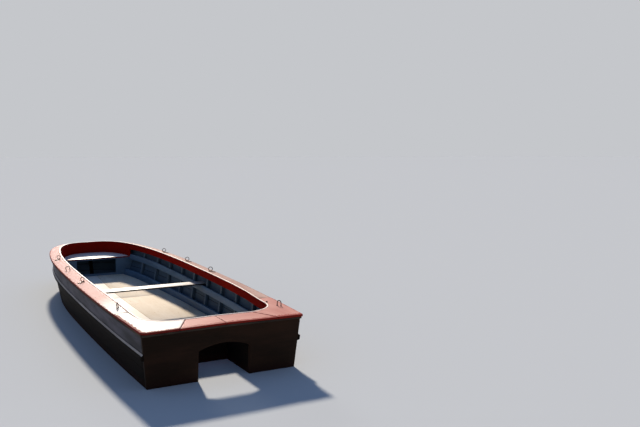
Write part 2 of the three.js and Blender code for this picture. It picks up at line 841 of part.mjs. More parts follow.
// Frames: floor timber, two ribs and two short deck arms in one piece
function frameHalf(station) {
  const base = bottomHeight(station) + BOTTOM_THICKNESS + GAP;
  const floorUnder = floorHeight(station) - FLOOR_THICKNESS - GAP;
  const outer = (z) => hullHalf(PLANK, station, z) - FRAME_GAP;
  const inner = (z) => outer(z) - RIB_DEPTH;
  const armEnd = valueAt(innerEdge, station) + GAP;
  const deckWidth = halfBeam(station) - valueAt(innerEdge, station);
  const underDeck = (y) => {
    const rise = (deckRise(station) * (halfBeam(station) - y)) / deckWidth;
    return deckEdge(station) - DECK_THICKNESS - BEDDING_GAP + rise;
  };
  const armRoot = underDeck(outer(deckUnder(station)));
  const armTip = underDeck(armEnd);
  return [
    ...levels(base, armRoot).map((z) => [outer(z), z]),
    [armEnd, armTip],
    [armEnd, armTip - DECK_ARM_DEPTH],
    ...levels(armRoot - DECK_ARM_DEPTH, floorUnder).map((z) => [inner(z), z]),
  ];
}

function buildFrames() {
  for (let i = 0; i < FRAME_COUNT; i += 1) {
    const faces = [-FRAME_WIDTH / 2, FRAME_WIDTH / 2].map((shift) => {
      const station = frameStation(i) + shift;
      const half = frameHalf(station);
      const other = half.map(([y, z]) => [-y, z]).reverse();
      return half.concat(other).map(([y, z]) => new THREE.Vector3(station, y, z));
    });
    addPart(`frame_${i + 1}`, loft(faces), paint.insideBlue);
  }
}

// The stringers rise evenly from the stern and a little more towards the bow
function stringerTop(station) {
  const t = Math.max(0, station - STRINGER_RISE_START) / (BULKHEAD_STATION - STRINGER_RISE_START);
  return STRINGER_AT_STERN + (STRINGER_RISE * station) / LENGTH + STRINGER_BOW_RISE * t;
}

// Stringers that carry the thwart, and boards along the edges of the floor
function buildLongBoards() {
  const last = BULKHEAD_STATION - GAP;
  const stations = [...sideStations, (SPLIT_STATION + last) / 2, last];
  stations.unshift(AFT_END_STATION);
  for (const { name, sign } of SIDES) {
    const stringer = beam(stations, (s) => {
      const top = stringerTop(s);
      const low = top - STRINGER_HEIGHT;
      const face = (z) => hullHalf(RIB_FACE, s, z) - FRAME_GAP;
      return [
        [sign * face(low), low],
        [sign * face(top), top],
        [sign * (face(top) - STRINGER_THICKNESS), top],
        [sign * (face(low) - STRINGER_THICKNESS), low],
      ];
    });
    addPart(`stringer_${name}`, stringer, paint.insideBlue);
    const bilge = beam(stations, (s) => {
      const low = floorHeight(s) - FLOOR_THICKNESS;
      const top = floorHeight(s) + BILGE_BOARD_TOP;
      const face = (z) => hullHalf(RIB_FACE, s, z) - FRAME_GAP;
      return [
        [sign * face(low), low],
        [sign * face(top), top],
        [sign * (face(top) - BILGE_BOARD_THICKNESS), top],
        [sign * (face(low) - BILGE_BOARD_THICKNESS), low],
      ];
    });
    addPart(`bilge_board_${name}`, bilge, paint.insideBlue);
  }
}

function floorSection(station, inner, outer) {
  const top = floorHeight(station);
  const low = top - FLOOR_THICKNESS;
  return [[inner, low], [outer, low], [outer, top], [inner, top]];
}

// Floor panels in pairs, the aft pair cut out round the motor well
function buildFloor() {
  const edge = (s) => {
    const low = floorHeight(s) - FLOOR_THICKNESS;
    return hullHalf(RIB_FACE, s, low) - FRAME_GAP - BILGE_BOARD_THICKNESS - GAP;
  };
  const bays = [AFT_END_STATION, ...FLOOR_SEAM_STATIONS, BULKHEAD_STATION - GAP];
  const wellHalf = NOTCH_HALF_WIDTH + WELL_BOARD + 2 * GAP;
  const wellFront = WELL_FRONT_STATION + MOTOR_BOARD + 2 * GAP;
  for (const { name, sign } of SIDES) {
    for (let i = 0; i + 1 < bays.length; i += 1) {
      const from = bays[i] + (i > 0 ? SEAM : 0);
      const to = bays[i + 1];
      const inside = sideStations.filter((s) => s > from + 1 && s < to - 1);
      const stations = [from, ...inside, to];
      const centre = SEAM / 2;
      const aroundWell = [[to, centre], [wellFront, centre], [wellFront, wellHalf], [from, wellHalf]];
      const aftPanel = mirrored([...stations.map((s) => [s, edge(s)]), ...aroundWell], sign);
      const geometry = i === 0
        ? board(aftPanel, floorHeight, FLOOR_THICKNESS)
        : beam(stations, (s) => floorSection(s, centre * sign, edge(s) * sign));
      addPart(`floor_panel_${i + 1}_${name}`, geometry, paint.floorWhite);
    }
  }
}

// Motor well: two side boards from the transom, and between them the board that carries a motor
function buildWell() {
  const aft = transomFront(WELL_SIDE_TOP) + GAP;
  const aftLow = transomFront(0) + GAP;
  const base = BOTTOM_THICKNESS + GAP;
  const front = WELL_FRONT_STATION + MOTOR_BOARD;
  for (const { name, sign } of SIDES) {
    const profile = [[aftLow, base], [front, base], [front, WELL_SIDE_TOP], [aft, WELL_SIDE_TOP]];
    const rings = [NOTCH_HALF_WIDTH, NOTCH_HALF_WIDTH + WELL_BOARD].map((y) => (
      profile.map(([s, z]) => new THREE.Vector3(s, y * sign, z))
    ));
    addPart(`well_side_${name}`, loft(rings), paint.insideBlue);
  }
  const half = NOTCH_HALF_WIDTH - GAP;
  const motorBoard = boxBetween(
    new THREE.Vector3(WELL_FRONT_STATION, -half, base),
    new THREE.Vector3(WELL_FRONT_STATION + MOTOR_BOARD, half, MOTOR_BOARD_TOP),
  );
  addPart('motor_board', motorBoard, paint.insideBlue);
}

// One seat board from side to side between two frames, on the stringers
function buildThwart() {
  const seat = stringerTop(THWART_STATION) + THWART_SEAT_GAP;
  const half = hullHalf(PLANK, THWART_STATION, seat) - THWART_END_GAP;
  const thwart = boxBetween(
    new THREE.Vector3(THWART_STATION - THWART_WIDTH / 2, -half, seat),
    new THREE.Vector3(THWART_STATION + THWART_WIDTH / 2, half, seat + THWART_THICKNESS),
  );
  addPart('thwart', thwart, paint.floorWhite);
}

// Recessed foredeck inside the bow coaming, its nosing, and the bulkhead
function buildForedeck() {
  const start = BULKHEAD_STATION + NOSING_THICKNESS + GAP;
  const line = movedLine(innerEdge, -COAMING_THICKNESS - 2 * GAP);
  const bow = slice(line, 0, start, LENGTH);
  const panel = bow.concat(mirrored(bow.slice(0, -1), -1).reverse());
  addPart('foredeck', board(panel, foredeckTop, FOREDECK_THICKNESS), paint.floorWhite);

  const nosingHalf = valueAt(line, start);
  const nosing = boxBetween(
    new THREE.Vector3(BULKHEAD_STATION, -nosingHalf, FOREDECK_TOP - NOSING_HEIGHT),
    new THREE.Vector3(BULKHEAD_STATION + NOSING_THICKNESS, nosingHalf, FOREDECK_TOP),
  );
  addPart('foredeck_nosing', nosing, paint.coamingRed);

  const base = bottomHeight(BULKHEAD_STATION + BULKHEAD_THICKNESS) + BOTTOM_THICKNESS + 2 * GAP;
  const head = FOREDECK_TOP - NOSING_HEIGHT - GAP;
  const faces = [0, BULKHEAD_THICKNESS].map((shift) => {
    const station = BULKHEAD_STATION + shift;
    const edge = levels(base, head).map((z) => [hullHalf(PLANK, station, z) - BULKHEAD_EDGE_GAP, z]);
    const other = edge.map(([y, z]) => [-y, z]).reverse();
    return edge.concat(other).map(([y, z]) => new THREE.Vector3(station, y, z));
  });
  const hole = boxBetween(
    new THREE.Vector3(BULKHEAD_STATION - CUT_MARGIN, -LOCKER_HALF_WIDTH, LOCKER_BOTTOM),
    new THREE.Vector3(BULKHEAD_STATION + CUT_MARGIN, LOCKER_HALF_WIDTH, LOCKER_TOP),
  );
  addPart('bulkhead', cut(loft(faces), hole), paint.insideBlue);
}

// A bent rod standing on the deck, on two round feet
function hoopGeometry() {
  const radius = (HOOP_WIDTH - HOOP_ROD) / 2;
  const straight = HOOP_HEIGHT - HOOP_ROD / 2 - radius;
  const path = new THREE.CurvePath();
  path.add(new THREE.LineCurve3(
    new THREE.Vector3(-radius, 0, 0),
    new THREE.Vector3(-radius, 0, straight),
  ));
  const arc = [];
  for (let i = 0; i <= HOOP_STEPS; i += 1) {
    const angle = Math.PI * (1 - i / HOOP_STEPS);
    arc.push(new THREE.Vector3(radius * Math.cos(angle), 0, straight + radius * Math.sin(angle)));
  }
  for (let i = 0; i < HOOP_STEPS; i += 1) {
    path.add(new THREE.LineCurve3(arc[i], arc[i + 1]));
  }
  path.add(new THREE.LineCurve3(
    new THREE.Vector3(radius, 0, straight),
    new THREE.Vector3(radius, 0, 0),
  ));
  const section = new THREE.Shape().absarc(0, 0, HOOP_ROD / 2, 0, Math.PI * 2, false);
  const rod = new THREE.ExtrudeGeometry(section, {
    steps: HOOP_PATH_STEPS,
    curveSegments: ROD_SEGMENTS,
    extrudePath: path,
  });
  const feet = [-radius, radius].map((x) => {
    const half = HOOP_FOOT / 2;
    const foot = new THREE.CylinderGeometry(half, half, HOOP_FOOT_THICKNESS, HOOP_FOOT_SIDES);
    foot.rotateX(Math.PI / 2);
    foot.translate(x, 0, HOOP_FOOT_THICKNESS / 2);
    return foot;
  });
  return join([rod, ...feet]);
}

// A standing ring on the inner end of a flat foot
function ringGeometry() {
  const middle = (RING_OUTER - RING_ROD) / 2;
  const ring = new THREE.TorusGeometry(middle, RING_ROD / 2, RING_TUBE_SIDES, RING_STEPS);
  ring.rotateX(Math.PI / 2);
  ring.translate(0, 0, RING_OUTER / 2 + RING_FOOT_THICKNESS - RING_SUNK);
  const foot = new THREE.BoxGeometry(RING_FOOT_LENGTH, RING_FOOT_WIDTH, RING_FOOT_THICKNESS);
  foot.translate(RING_FOOT_LENGTH / 2 - RING_OUTER / 4, 0, RING_FOOT_THICKNESS / 2);
  return join([ring, foot]);
}

// Height of the side deck at a distance in from its edge
function sideDeckTop(station, inset) {
  if (station < QUARTER_END_STATION) {
    return quarterSurface(station, halfBeam(station) - inset);
  }
  return deckEdge(station) + deckRise(station) * (inset / SIDE_DECK_WIDTH);
}

// Stands a fitting on the side deck, square to its slope across and along the boat
function placeOnDeck(mesh, { station, inset, side, lift }, turn) {
  const y = side * (halfBeam(station) - inset);
  mesh.position.set(station - LENGTH / 2, y, sideDeckTop(station, inset) + lift);
  const across = -side * Math.atan2(deckRise(station), SIDE_DECK_WIDTH);
  const reach = HOOP_WIDTH / 2;
  const climb = sideDeckTop(station + reach, inset) - sideDeckTop(station - reach, inset);
  const along = -Math.atan2(climb, HOOP_WIDTH);
  mesh.rotation.set(across, along, THREE.MathUtils.degToRad(turn));
}

function buildRopeFittings() {
  for (const row of hoopTable) {
    placeOnDeck(addPart(row.name, hoopGeometry(), paint.rawSteel), row, row.turn);
  }
  for (const row of ringTable) {
    const outboard = row.side * (90 + RING_FOOT_TURN);
    placeOnDeck(addPart(row.name, ringGeometry(), paint.rawSteel), row, outboard);
  }
}

buildBottom();
buildSides();
buildTransom();
buildStem();
buildDeck();
buildCoaming();
buildFrames();
buildLongBoards();
buildFloor();
buildWell();
buildThwart();
buildForedeck();
buildRopeFittings();

export default boat;
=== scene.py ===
"""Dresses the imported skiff: rounded boards, worn paint, rusty deck fittings and a studio."""

from __future__ import annotations

import logging
import math
from dataclasses import dataclass
from enum import Enum

import bmesh
import bpy
import numpy as np
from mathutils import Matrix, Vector

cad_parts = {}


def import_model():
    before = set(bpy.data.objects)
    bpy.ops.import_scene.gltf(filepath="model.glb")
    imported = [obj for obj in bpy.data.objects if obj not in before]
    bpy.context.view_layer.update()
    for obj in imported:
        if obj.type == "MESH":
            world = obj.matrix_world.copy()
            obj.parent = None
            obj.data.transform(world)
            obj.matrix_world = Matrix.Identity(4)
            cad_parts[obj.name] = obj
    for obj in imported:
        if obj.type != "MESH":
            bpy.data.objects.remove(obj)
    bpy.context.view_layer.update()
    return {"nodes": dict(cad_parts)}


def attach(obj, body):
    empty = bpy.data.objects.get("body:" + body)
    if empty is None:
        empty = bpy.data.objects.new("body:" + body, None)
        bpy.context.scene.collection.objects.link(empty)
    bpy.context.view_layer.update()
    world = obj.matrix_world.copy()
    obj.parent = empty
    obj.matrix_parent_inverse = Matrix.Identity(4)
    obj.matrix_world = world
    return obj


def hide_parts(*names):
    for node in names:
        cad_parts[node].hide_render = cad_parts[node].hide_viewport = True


LOG = logging.getLogger("skiff")
BODY = "root"
BOARD_UV = "board"
EDGE = "edge"
SIDES = {"port": 1.0, "starboard": -1.0}

MATH = "ShaderNodeMath"
RANGE = "ShaderNodeMapRange"
MIX = "ShaderNodeMix"
NOISE = "ShaderNodeTexNoise"
BUMP = "ShaderNodeBump"
COORDINATES = "ShaderNodeTexCoord"
SPLIT_VECTOR = "ShaderNodeSeparateXYZ"
SHADER = "Principled BSDF"
# Sockets of a Mix node that count while it mixes colours, and its settings then
SHARE, FIRST, SECOND = 0, 6, 7
COLOURS = {"out": 2, "data_type": "RGBA"}
SMOOTH = {"interpolation_type": "SMOOTHSTEP"}
TIMES_PLUS = {"operation": "MULTIPLY_ADD"}

# Numbers that move one board's grain away from another's, and their spacing in metres
GRAIN_SHIFTS = 97
SHIFT_STEP = 1.7
# Steps of an arris from one side to the other, and the most of a side that it may take,
# alone and with the strip that wears with it
ARRIS_STEPS = (0.0, 0.33, 0.67, 1.0)
ARRIS_SHARE = 0.3
WORN_SHARE = 0.45
POINTS_PER_CORNER = len(ARRIS_STEPS) + 2
# Quads of a ring, counted from a corner's first point: the face up to the next corner with
# its two worn strips, and the same with both arrises
FACE_QUADS = np.arange(4, 7)
ARRIS_QUADS = np.arange(1, 10)
QUAD = 4
# Width of the strip along an arris that wears, in metres
WORN_STRIP = 0.012
# Square of a length under which an edge counts as a point
TINY = 1e-12
# Degrees between two faces over which the edge between them stays sharp
SHARP_BOARD = 38
SHARP_COPY = 30
SHARP_FITTING = 40

# Points and faces of a closed skin; radius and height of a turned form's rings; foot and
# normal of each small head
Skin = tuple[np.ndarray, list[list[int]]]
Profile = tuple[tuple[float, float], ...]
Feet = list[tuple[list[float], np.ndarray]]


def linear(colour: str) -> tuple[float, float, float, float]:
    """Turns an sRGB hex colour into linear red, green, blue and alpha.

    Args:
        colour: Six hex digits, such as "7a1c17".

    Returns:
        The four linear values; each channel is ((c + 0.055) / 1.055) to the power 2.4.
    """
    channels = np.array([int(colour[i:i + 2], 16) for i in (0, 2, 4)]) / 255.0
    low = channels / 12.92
    high = ((channels + 0.055) / 1.055) ** 2.4
    return (*np.where(channels <= 0.04045, low, high).tolist(), 1.0)


def plug(tree: bpy.types.NodeTree, node: bpy.types.Node, inputs: dict) -> None:
    """Puts values and links into a node.

    Args:
        tree: The node tree.
        node: The node.
        inputs: Socket name or number, with the value or the output socket that goes into it.
    """
    for key, value in inputs.items():
        if isinstance(value, bpy.types.NodeSocket):
            tree.links.new(value, node.inputs[key])
        else:
            node.inputs[key].default_value = value


def add_node(tree: bpy.types.NodeTree, kind: str, inputs: dict, out: int | str = 0,
             **settings) -> bpy.types.NodeSocket:
    """Adds one node to a material.

    Args:
        tree: The material's node tree.
        kind: The node's type name.
        inputs: Socket name or number, with the value or the output socket that goes into it.
        out: Name or number of the output that is wanted.
        **settings: Properties of the node.

    Returns:
        The wanted output socket of the new node.
    """
    made = tree.nodes.new(kind)
    for key, value in settings.items():
        setattr(made, key, value)
    plug(tree, made, inputs)
    return made.outputs[out]


def between(value: bpy.types.NodeSocket, limits: tuple[float, float]) -> dict:
    """Inputs of a range node that turns the two limits into 0 and 1."""
    return {"Value": value, "From Min": limits[0], "From Max": limits[1]}


def new_material(name: str) -> bpy.types.Material:
    """Makes a material that has its nodes.

    Args:
        name: Name of the material.

    Returns:
        The material.
    """
    material = bpy.data.materials.new(name)
    material.use_nodes = True
    return material


@dataclass(frozen=True)
class Weathering:
    """How paint weathers on every board of the boat.

    Attributes:
        noises: Features a metre along and across the grain, detail and roughness of each
            noise: fading in patches of 0.8 by 0.2 m, grain every 6 mm, checks every 3 mm
            and ragged chips of 60 by 24 mm.
        fading: Patch noise where bleaching starts, and where it is full.
        lines: Grain noise where the grain's dark lines start, and where they are full.
        level: Upward part of a normal where a face starts to have the level faces' colour,
        and where it has it; this step from upright to level faces is painted light.
        level_ragged: How far the chips move that border.
        grain_weight: Weight of the grain in what has worn through.
        chips_weight: Weight of the chips in it.
        edge_weight: Weight of an arris in it.
        sound_up_to: Sum of the three up to which unworn paint holds.
        worn_weight: How much a full share of wear takes off that.
        border: Width of a worn spot's soft edge, in the same measure.
        relief: Heights of the grain, the checks and the worn spots, as shares of the depth.
        relief_strength: Strength of the relief.
        relief_depth: Depth of the relief in metres.
        rougher: What the soundest and the dullest spot add to the paint's roughness.
    """

    noises: tuple[tuple[str, float, float, float, float], ...] = (
        ("patches", 1.3, 5.0, 4.0, 0.55),
        ("grain", 5.0, 160.0, 3.0, 0.6),
        ("checks", 2.5, 380.0, 2.0, 0.5),
        ("chips", 16.0, 42.0, 7.0, 0.68),
    )
    fading: tuple[float, float] = (0.35, 0.68)
    lines: tuple[float, float] = (0.45, 0.75)
    level: tuple[float, float] = (0.75, 1.05)
    level_ragged: float = 0.3
    grain_weight: float = 0.25
    chips_weight: float = 0.75
    edge_weight: float = 0.4
    sound_up_to: float = 0.78
    worn_weight: float = 0.3
    border: float = 0.06
    relief: tuple[float, float, float] = (0.35, 0.3, -0.5)
    relief_strength: float = 0.6
    relief_depth: float = 0.0012
    rougher: tuple[float, float] = (-0.08, 0.25)


WEATHER = Weathering()


@dataclass(frozen=True)
class Band:
    """A ragged band of another colour across the boards.

    Attributes:
        axis: The boat's axis that it is measured along.
        full: Where the colour is full, in metres.
        none: Where it has ended.
        colour: The colour.
        ragged: How far its edge wanders; half of that is the mean shift of full and none.
    """

    axis: str
    full: float
    none: float
    colour: str
    ragged: float


@dataclass(frozen=True)
class PaintedWood:
    """Brushed oil paint on softwood boards, faded by sun and rubbed through in places.

    The eye sees broad faded patches, brush marks and grain about 6 mm wide along the
    board, fine checks, and bare wood or older paint along the arrises. A flank colour
    makes upright faces differ from level ones, which is painted shade and painted glare.

    Attributes:
        name: Name of the material.
        paint: Colour of sound paint.
        faded: Colour of sun-bleached paint.
        beneath: Colour that shows where the paint has gone.
        flank: Colour of faces that stand upright, or empty for the same as the rest. Set
        apart from the level faces by the normal, it is partly painted light: painted
        shade on the upright faces, against painted glare on the level ones.
        worn: Share of the open faces that is rubbed through, 0 to 1.
        edge_worn: How much more an arris is rubbed, 0 to 1.
        rough: Roughness of sound paint.
        gloss: Specular level of the paint.
        bands: Bands of other colours.
        grain_shows: How much the grain darkens the paint.
    """

    name: str
    paint: str
    faded: str
    beneath: str
    flank: str = ""
    worn: float = 0.12
    edge_worn: float = 0.35
    rough: float = 0.55
    gloss: float = 0.25
    bands: tuple[Band, ...] = ()
    grain_shows: float = 0.3

    def make(self) -> bpy.types.Material:
        """Builds the material on the piece's own board map, in metres along and across.

        Returns:
            The material.
        """
        material = new_material(self.name)
        tree = material.node_tree
        board = add_node(tree, "ShaderNodeUVMap", {}, uv_map=BOARD_UV)
        noise = {}
        for key, along, across, detail, roughness in WEATHER.noises:
            scaled = add_node(tree, "ShaderNodeMapping", {"Vector": board, "Scale": (along, across, across)})
            noise[key] = add_node(tree, NOISE, {
                "Vector": scaled, "Scale": 1.0, "Detail": detail, "Roughness": roughness})
        sound = self.sound_paint(tree, noise)
        gone = self.rubbed_through(tree, noise)
        colour = add_node(tree, MIX, {SHARE: gone, FIRST: sound, SECOND: linear(self.beneath)}, **COLOURS)
        height = 0.0
        for source, share in zip((noise["grain"], noise["checks"], gone), WEATHER.relief):
            height = add_node(tree, MATH, {0: source, 1: share, 2: height}, **TIMES_PLUS)
        bump = add_node(tree, BUMP, {"Strength": WEATHER.relief_strength,
                                     "Distance": WEATHER.relief_depth, "Height": height})
        dull = add_node(tree, MATH, {0: noise["patches"], 1: gone}, operation="ADD")
        low, high = (min(1.0, self.rough + change) for change in WEATHER.rougher)
        rough = add_node(tree, RANGE, {"Value": dull, "From Max": 2.0, "To Min": low, "To Max": high})
        plug(tree, tree.nodes[SHADER], {"Base Color": colour, "Roughness": rough, "Normal": bump,
                                        "Specular IOR Level": self.gloss})
        return material

    def sound_paint(self, tree: bpy.types.NodeTree,
                    noise: dict[str, bpy.types.NodeSocket]) -> bpy.types.NodeSocket:
        """Colours the paint that still holds: faded patches, grain, bands and flank.

        Args:
            tree: The material's node tree.
            noise: The board's noises.

        Returns:
            The colour.
        """
        share = add_node(tree, RANGE, between(noise["patches"], WEATHER.fading), **SMOOTH)
        colour = add_node(tree, MIX, {SHARE: share, FIRST: linear(self.paint), SECOND: linear(self.faded)},
                          **COLOURS)
        lines = add_node(tree, RANGE, {**between(noise["grain"], WEATHER.lines), "To Max": self.grain_shows},
                         **SMOOTH)
        colour = add_node(tree, MIX, {SHARE: lines, FIRST: colour, SECOND: linear(self.beneath)}, **COLOURS)
        for band in self.bands:
            place = add_node(tree, COORDINATES, {}, out="Object")
            place = add_node(tree, SPLIT_VECTOR, {0: place}, out=band.axis)
            ragged = add_node(tree, MATH, {0: noise["chips"], 1: band.ragged, 2: place}, **TIMES_PLUS)
            share = add_node(tree, RANGE, between(ragged, (band.none, band.full)), **SMOOTH)
            colour = add_node(tree, MIX, {SHARE: share, FIRST: colour, SECOND: linear(band.colour)},
                              **COLOURS)
        # Colour by the normal: the flank colour on upright faces and the lighter one on level faces, which
        # paints shade on the sides and glare on the tops
        if not self.flank:
            return colour
        normal = add_node(tree, "ShaderNodeNewGeometry", {}, out="Normal")
        level = add_node(tree, SPLIT_VECTOR, {0: normal}, out="Z")
        level = add_node(tree, MATH, {0: noise["chips"], 1: WEATHER.level_ragged, 2: level}, **TIMES_PLUS)
        share = add_node(tree, RANGE, between(level, WEATHER.level), **SMOOTH)
        return add_node(tree, MIX, {SHARE: share, FIRST: linear(self.flank), SECOND: colour}, **COLOURS)

    def rubbed_through(self, tree: bpy.types.NodeTree,
                       noise: dict[str, bpy.types.NodeSocket]) -> bpy.types.NodeSocket:
        """Finds where the paint has gone, by grain, chips and nearness to an arris.

        Args:
            tree: The material's node tree.
            noise: The board's noises.

        Returns:
            1 where the paint has gone and 0 where it holds.
        """
        edge = add_node(tree, "ShaderNodeAttribute", {}, out="Fac", attribute_name=EDGE)
        loss = 0.0
        for source, weight in ((noise["grain"], WEATHER.grain_weight),
                               (noise["chips"], WEATHER.chips_weight),
                               (edge, WEATHER.edge_weight * self.edge_worn)):
            loss = add_node(tree, MATH, {0: source, 1: weight, 2: loss}, **TIMES_PLUS)
        limit = WEATHER.sound_up_to - WEATHER.worn_weight * self.worn
        return add_node(tree, RANGE, between(loss, (limit, limit + WEATHER.border)), **SMOOTH)


@dataclass(frozen=True)
class RustySteel:
    """Forged mild steel, rusted brown all over with darker sound patches.

    Attributes:
        name: Name of the material.
        sound: Colour of the steel that shows between the rust.
        rust: Colour of the rust.
        scabs: Rust scabs a metre, 4 mm apart.
        rusted: Noise where a scab starts, and where it is full.
        roughness: Roughness of the sound steel and of the rust.
        noise_detail: Detail and roughness of the scabs' noise.
        relief_strength: Strength of the scabs' relief.
        relief_depth: Height of a scab in metres.
        metallic: Share of bare metal that shows.
    """

    name: str
    sound: str
    rust: str
    scabs: float = 260.0
    rusted: tuple[float, float] = (0.38, 0.62)
    roughness: tuple[float, float] = (0.45, 0.85)
    noise_detail: tuple[float, float] = (6.0, 0.65)
    relief_strength: float = 0.7
    relief_depth: float = 0.0006
    metallic: float = 0.55

    def make(self) -> bpy.types.Material:
        """Builds the material on Object coordinates.

        Returns:
            The material.
        """
        material = new_material(self.name)
        tree = material.node_tree
        place = add_node(tree, COORDINATES, {}, out="Object")
        scabs = add_node(tree, NOISE, {"Vector": place, "Scale": self.scabs, "Detail": self.noise_detail[0],
                                       "Roughness": self.noise_detail[1]})
        share = add_node(tree, RANGE, between(scabs, self.rusted), **SMOOTH)
        colour = add_node(tree, MIX, {SHARE: share, FIRST: linear(self.sound), SECOND: linear(self.rust)},
                          **COLOURS)
        rough = add_node(tree, RANGE, {"Value": share, "To Min": self.roughness[0],
                                       "To Max": self.roughness[1]})
        bump = add_node(tree, BUMP, {"Strength": self.relief_strength, "Distance": self.relief_depth,
                                     "Height": scabs})
        plug(tree, tree.nodes[SHADER], {"Base Color": colour, "Roughness": rough, "Normal": bump,
                                        "Metallic": self.metallic})
        return material


STERN_WEAR = Band("X", -2.98, -2.964, "8e2a22", 0.25)
# Near-white band towards the stern of the port deck: bleached paint, with painted glare in it
BLEACHED_AND_GLARE_END = Band("X", -1.95, -1.35, "e2d5cc", 0.3)
WATERLINE_STAIN = Band("Z", 0.11, 0.2, "24140f", 0.06)


class Finish(Enum):
    """Every finish of the boat, with the name of the material slot that it belongs to."""

    # Salmon pink on the level faces, partly sun-faded paint and partly painted glare, with dark
    # red paint and painted shade on the upright faces and older dark red at the rubbed aft edge
    DECK = ("deck_paint", PaintedWood(
        "sun-faded red deck paint", paint="b5746a", faded="c58a7f", beneath="7d241d", flank="85231b",
        worn=0.1, edge_worn=0.75, rough=0.5, gloss=0.03, grain_shows=0.18, bands=(STERN_WEAR,)))
    # The same salmon pink along the port side, almost white towards the stern: bleached paint with
    # painted glare in it; the upright faces darker red, partly painted shade
    DECK_PORT = ("deck_paint", PaintedWood(
        "half-bleached deck paint", paint="b5746a", faded="c58a7f", beneath="7d241d", flank="5a0f0b",
        worn=0.1, edge_worn=0.75, rough=0.5, gloss=0.03, grain_shows=0.18, bands=(BLEACHED_AND_GLARE_END,)))
    # Almost white on the one corner where the red has worn and bleached off, with painted glare in
    # the white; the upright faces dark red, partly painted shade
    DECK_BLEACHED = ("deck_paint", PaintedWood(
        "bleached deck paint", paint="d4c5bb", faded="e2d8cf", beneath="74201a", flank="5a0f0b",
        worn=0.12, edge_worn=1.3, rough=0.5, gloss=0.06, grain_shows=0.12))
    # Dull pinkish grey along the starboard side, partly painted glare on red paint; the upright
    # faces dark red, partly painted shade
    DECK_SIDE = ("deck_paint", PaintedWood(
        "greyed pink deck paint", paint="ab8478", faded="bb9a8e", beneath="7d241d", flank="5a0f0b",
        worn=0.08, edge_worn=0.8, rough=0.5, gloss=0.04, grain_shows=0.2))
    # Deep saturated red on the board under the deck's inner edge
    COAMING = ("coaming_paint", PaintedWood(
        "dark red oil paint", paint="740b04", faded="821107", beneath="2a0806", worn=0.1, rough=0.8,
        gloss=0.02))
    # Pale line on the coaming's top and arrises: rubbed paint, and a painted highlight where the
    # arris catches the light
    COAMING_TOP = ("coaming_paint", PaintedWood(
        "rubbed coaming top", paint="d6c0b6", faded="f0e4dc", beneath="8d3a32", worn=0.15, rough=0.5,
        gloss=0.1))
    # Nearly black brown that only shows its plank seams and a muddy band at the waterline
    HULL = ("hull_paint", PaintedWood(
        "dark brown hull paint", paint="0f0c09", faded="19130f", beneath="2c1f18", worn=0.15,
        rough=0.7, gloss=0.04, bands=(WATERLINE_STAIN,)))
    # A little lighter and browner across the stern: browner paint, lighter than the hull's as a
    # painted fill light on the shaded stern
    TRANSOM = ("hull_paint", PaintedWood(
        "brown transom paint", paint="20160e", faded="301f15", beneath="3d241b", worn=0.15,
        rough=0.7, gloss=0.08, bands=(WATERLINE_STAIN,)))
    # Chalky red-brown under the waterline
    BOTTOM = ("bottom_paint", PaintedWood(
        "dull red-brown bottom paint", paint="3c2018", faded="4a2a20", beneath="2a1a14", rough=0.8,
        gloss=0.2))
    # Dull grey with a violet cast on the top strake
    STRAKE = ("strake_paint", PaintedWood(
        "grey topside paint", paint="3b3a3e", faded="5e5c66", beneath="2c2725", worn=0.2, rough=0.65,
        gloss=0.08))
    # Silvery bare wood along the rubbed top of the rub strake
    RUBBED_WOOD = ("moulding_wood", PaintedWood(
        "rubbed bare wood", paint="a59c95", faded="c0b7af", beneath="4d332d", worn=0.3, rough=0.75,
        gloss=0.2))
    # Greyed brown along the mouldings under the deck's edge, with little paint left on it, and
    # darker still as painted shade under the deck's overhang
    MOULDING = ("moulding_wood", PaintedWood(
        "weathered dark moulding", paint="322b24", faded="4d443a", beneath="2a1510", worn=0.4, rough=0.75,
        gloss=0.1))
    # Blue-grey that turns to navy in the shade of the decks
    INSIDE = ("inside_paint", PaintedWood(
        "blue-grey bilge paint", paint="354a5c", faded="40566b", beneath="293845", worn=0.1, rough=0.65,
        gloss=0.2))
    # The ribs' blue-grey, lighter along their arrises: some rubbing, and a painted highlight where
    # the edges catch the light
    RIB = ("inside_paint", PaintedWood(
        "rubbed blue-grey paint", paint="354a5c", faded="40566b", beneath="6c7e8e", worn=0.05,
        edge_worn=0.8, rough=0.6, gloss=0.2))
    # A shade lighter blue-grey on the long boards
    STRINGER = ("inside_paint", PaintedWood(
        "light blue-grey paint", paint="465f76", faded="557089", beneath="334555", worn=0.1, rough=0.55,
        gloss=0.25))
    # Cream, rubbed through to bare wood all over
    FLOOR = ("floor_paint", PaintedWood(
        "worn cream floor paint", paint="d9cab4", faded="e6dac8", beneath="c8b08c", worn=0.7, rough=0.7,
        gloss=0.05))
    # Newer and whiter paint on the port panels
    FLOOR_FRESH = ("floor_paint", PaintedWood(
        "fresh white floor paint", paint="eae0d1", faded="f2eade", beneath="cdbba2", worn=0.15, rough=0.6,
        gloss=0.1))
    # Greyish white seat; its near-black upright faces are painted shade
    THWART = ("floor_paint", PaintedWood(
        "white seat paint", paint="bfb9b2", faded="cfc9c2", beneath="6b5a54", flank="1c100f",
        worn=0.08, rough=0.5))
    # Clean white, the lightest paint of the boat
    FOREDECK = ("floor_paint", PaintedWood(
        "white foredeck paint", paint="f0ece6", faded="f6f3ef", beneath="a08d80", worn=0.05, rough=0.4))
    # Brown rust over darker steel on the rings, the hoops and the deck's screws
    STEEL = ("rusty_steel", RustySteel("rusted forged steel", sound="3a322d", rust="5d3c28"))
    # Nearly black head of the one bolt on the stern
    IRON = ("rusty_steel", RustySteel("black iron", sound="0b0a0a", rust="1c1410"))

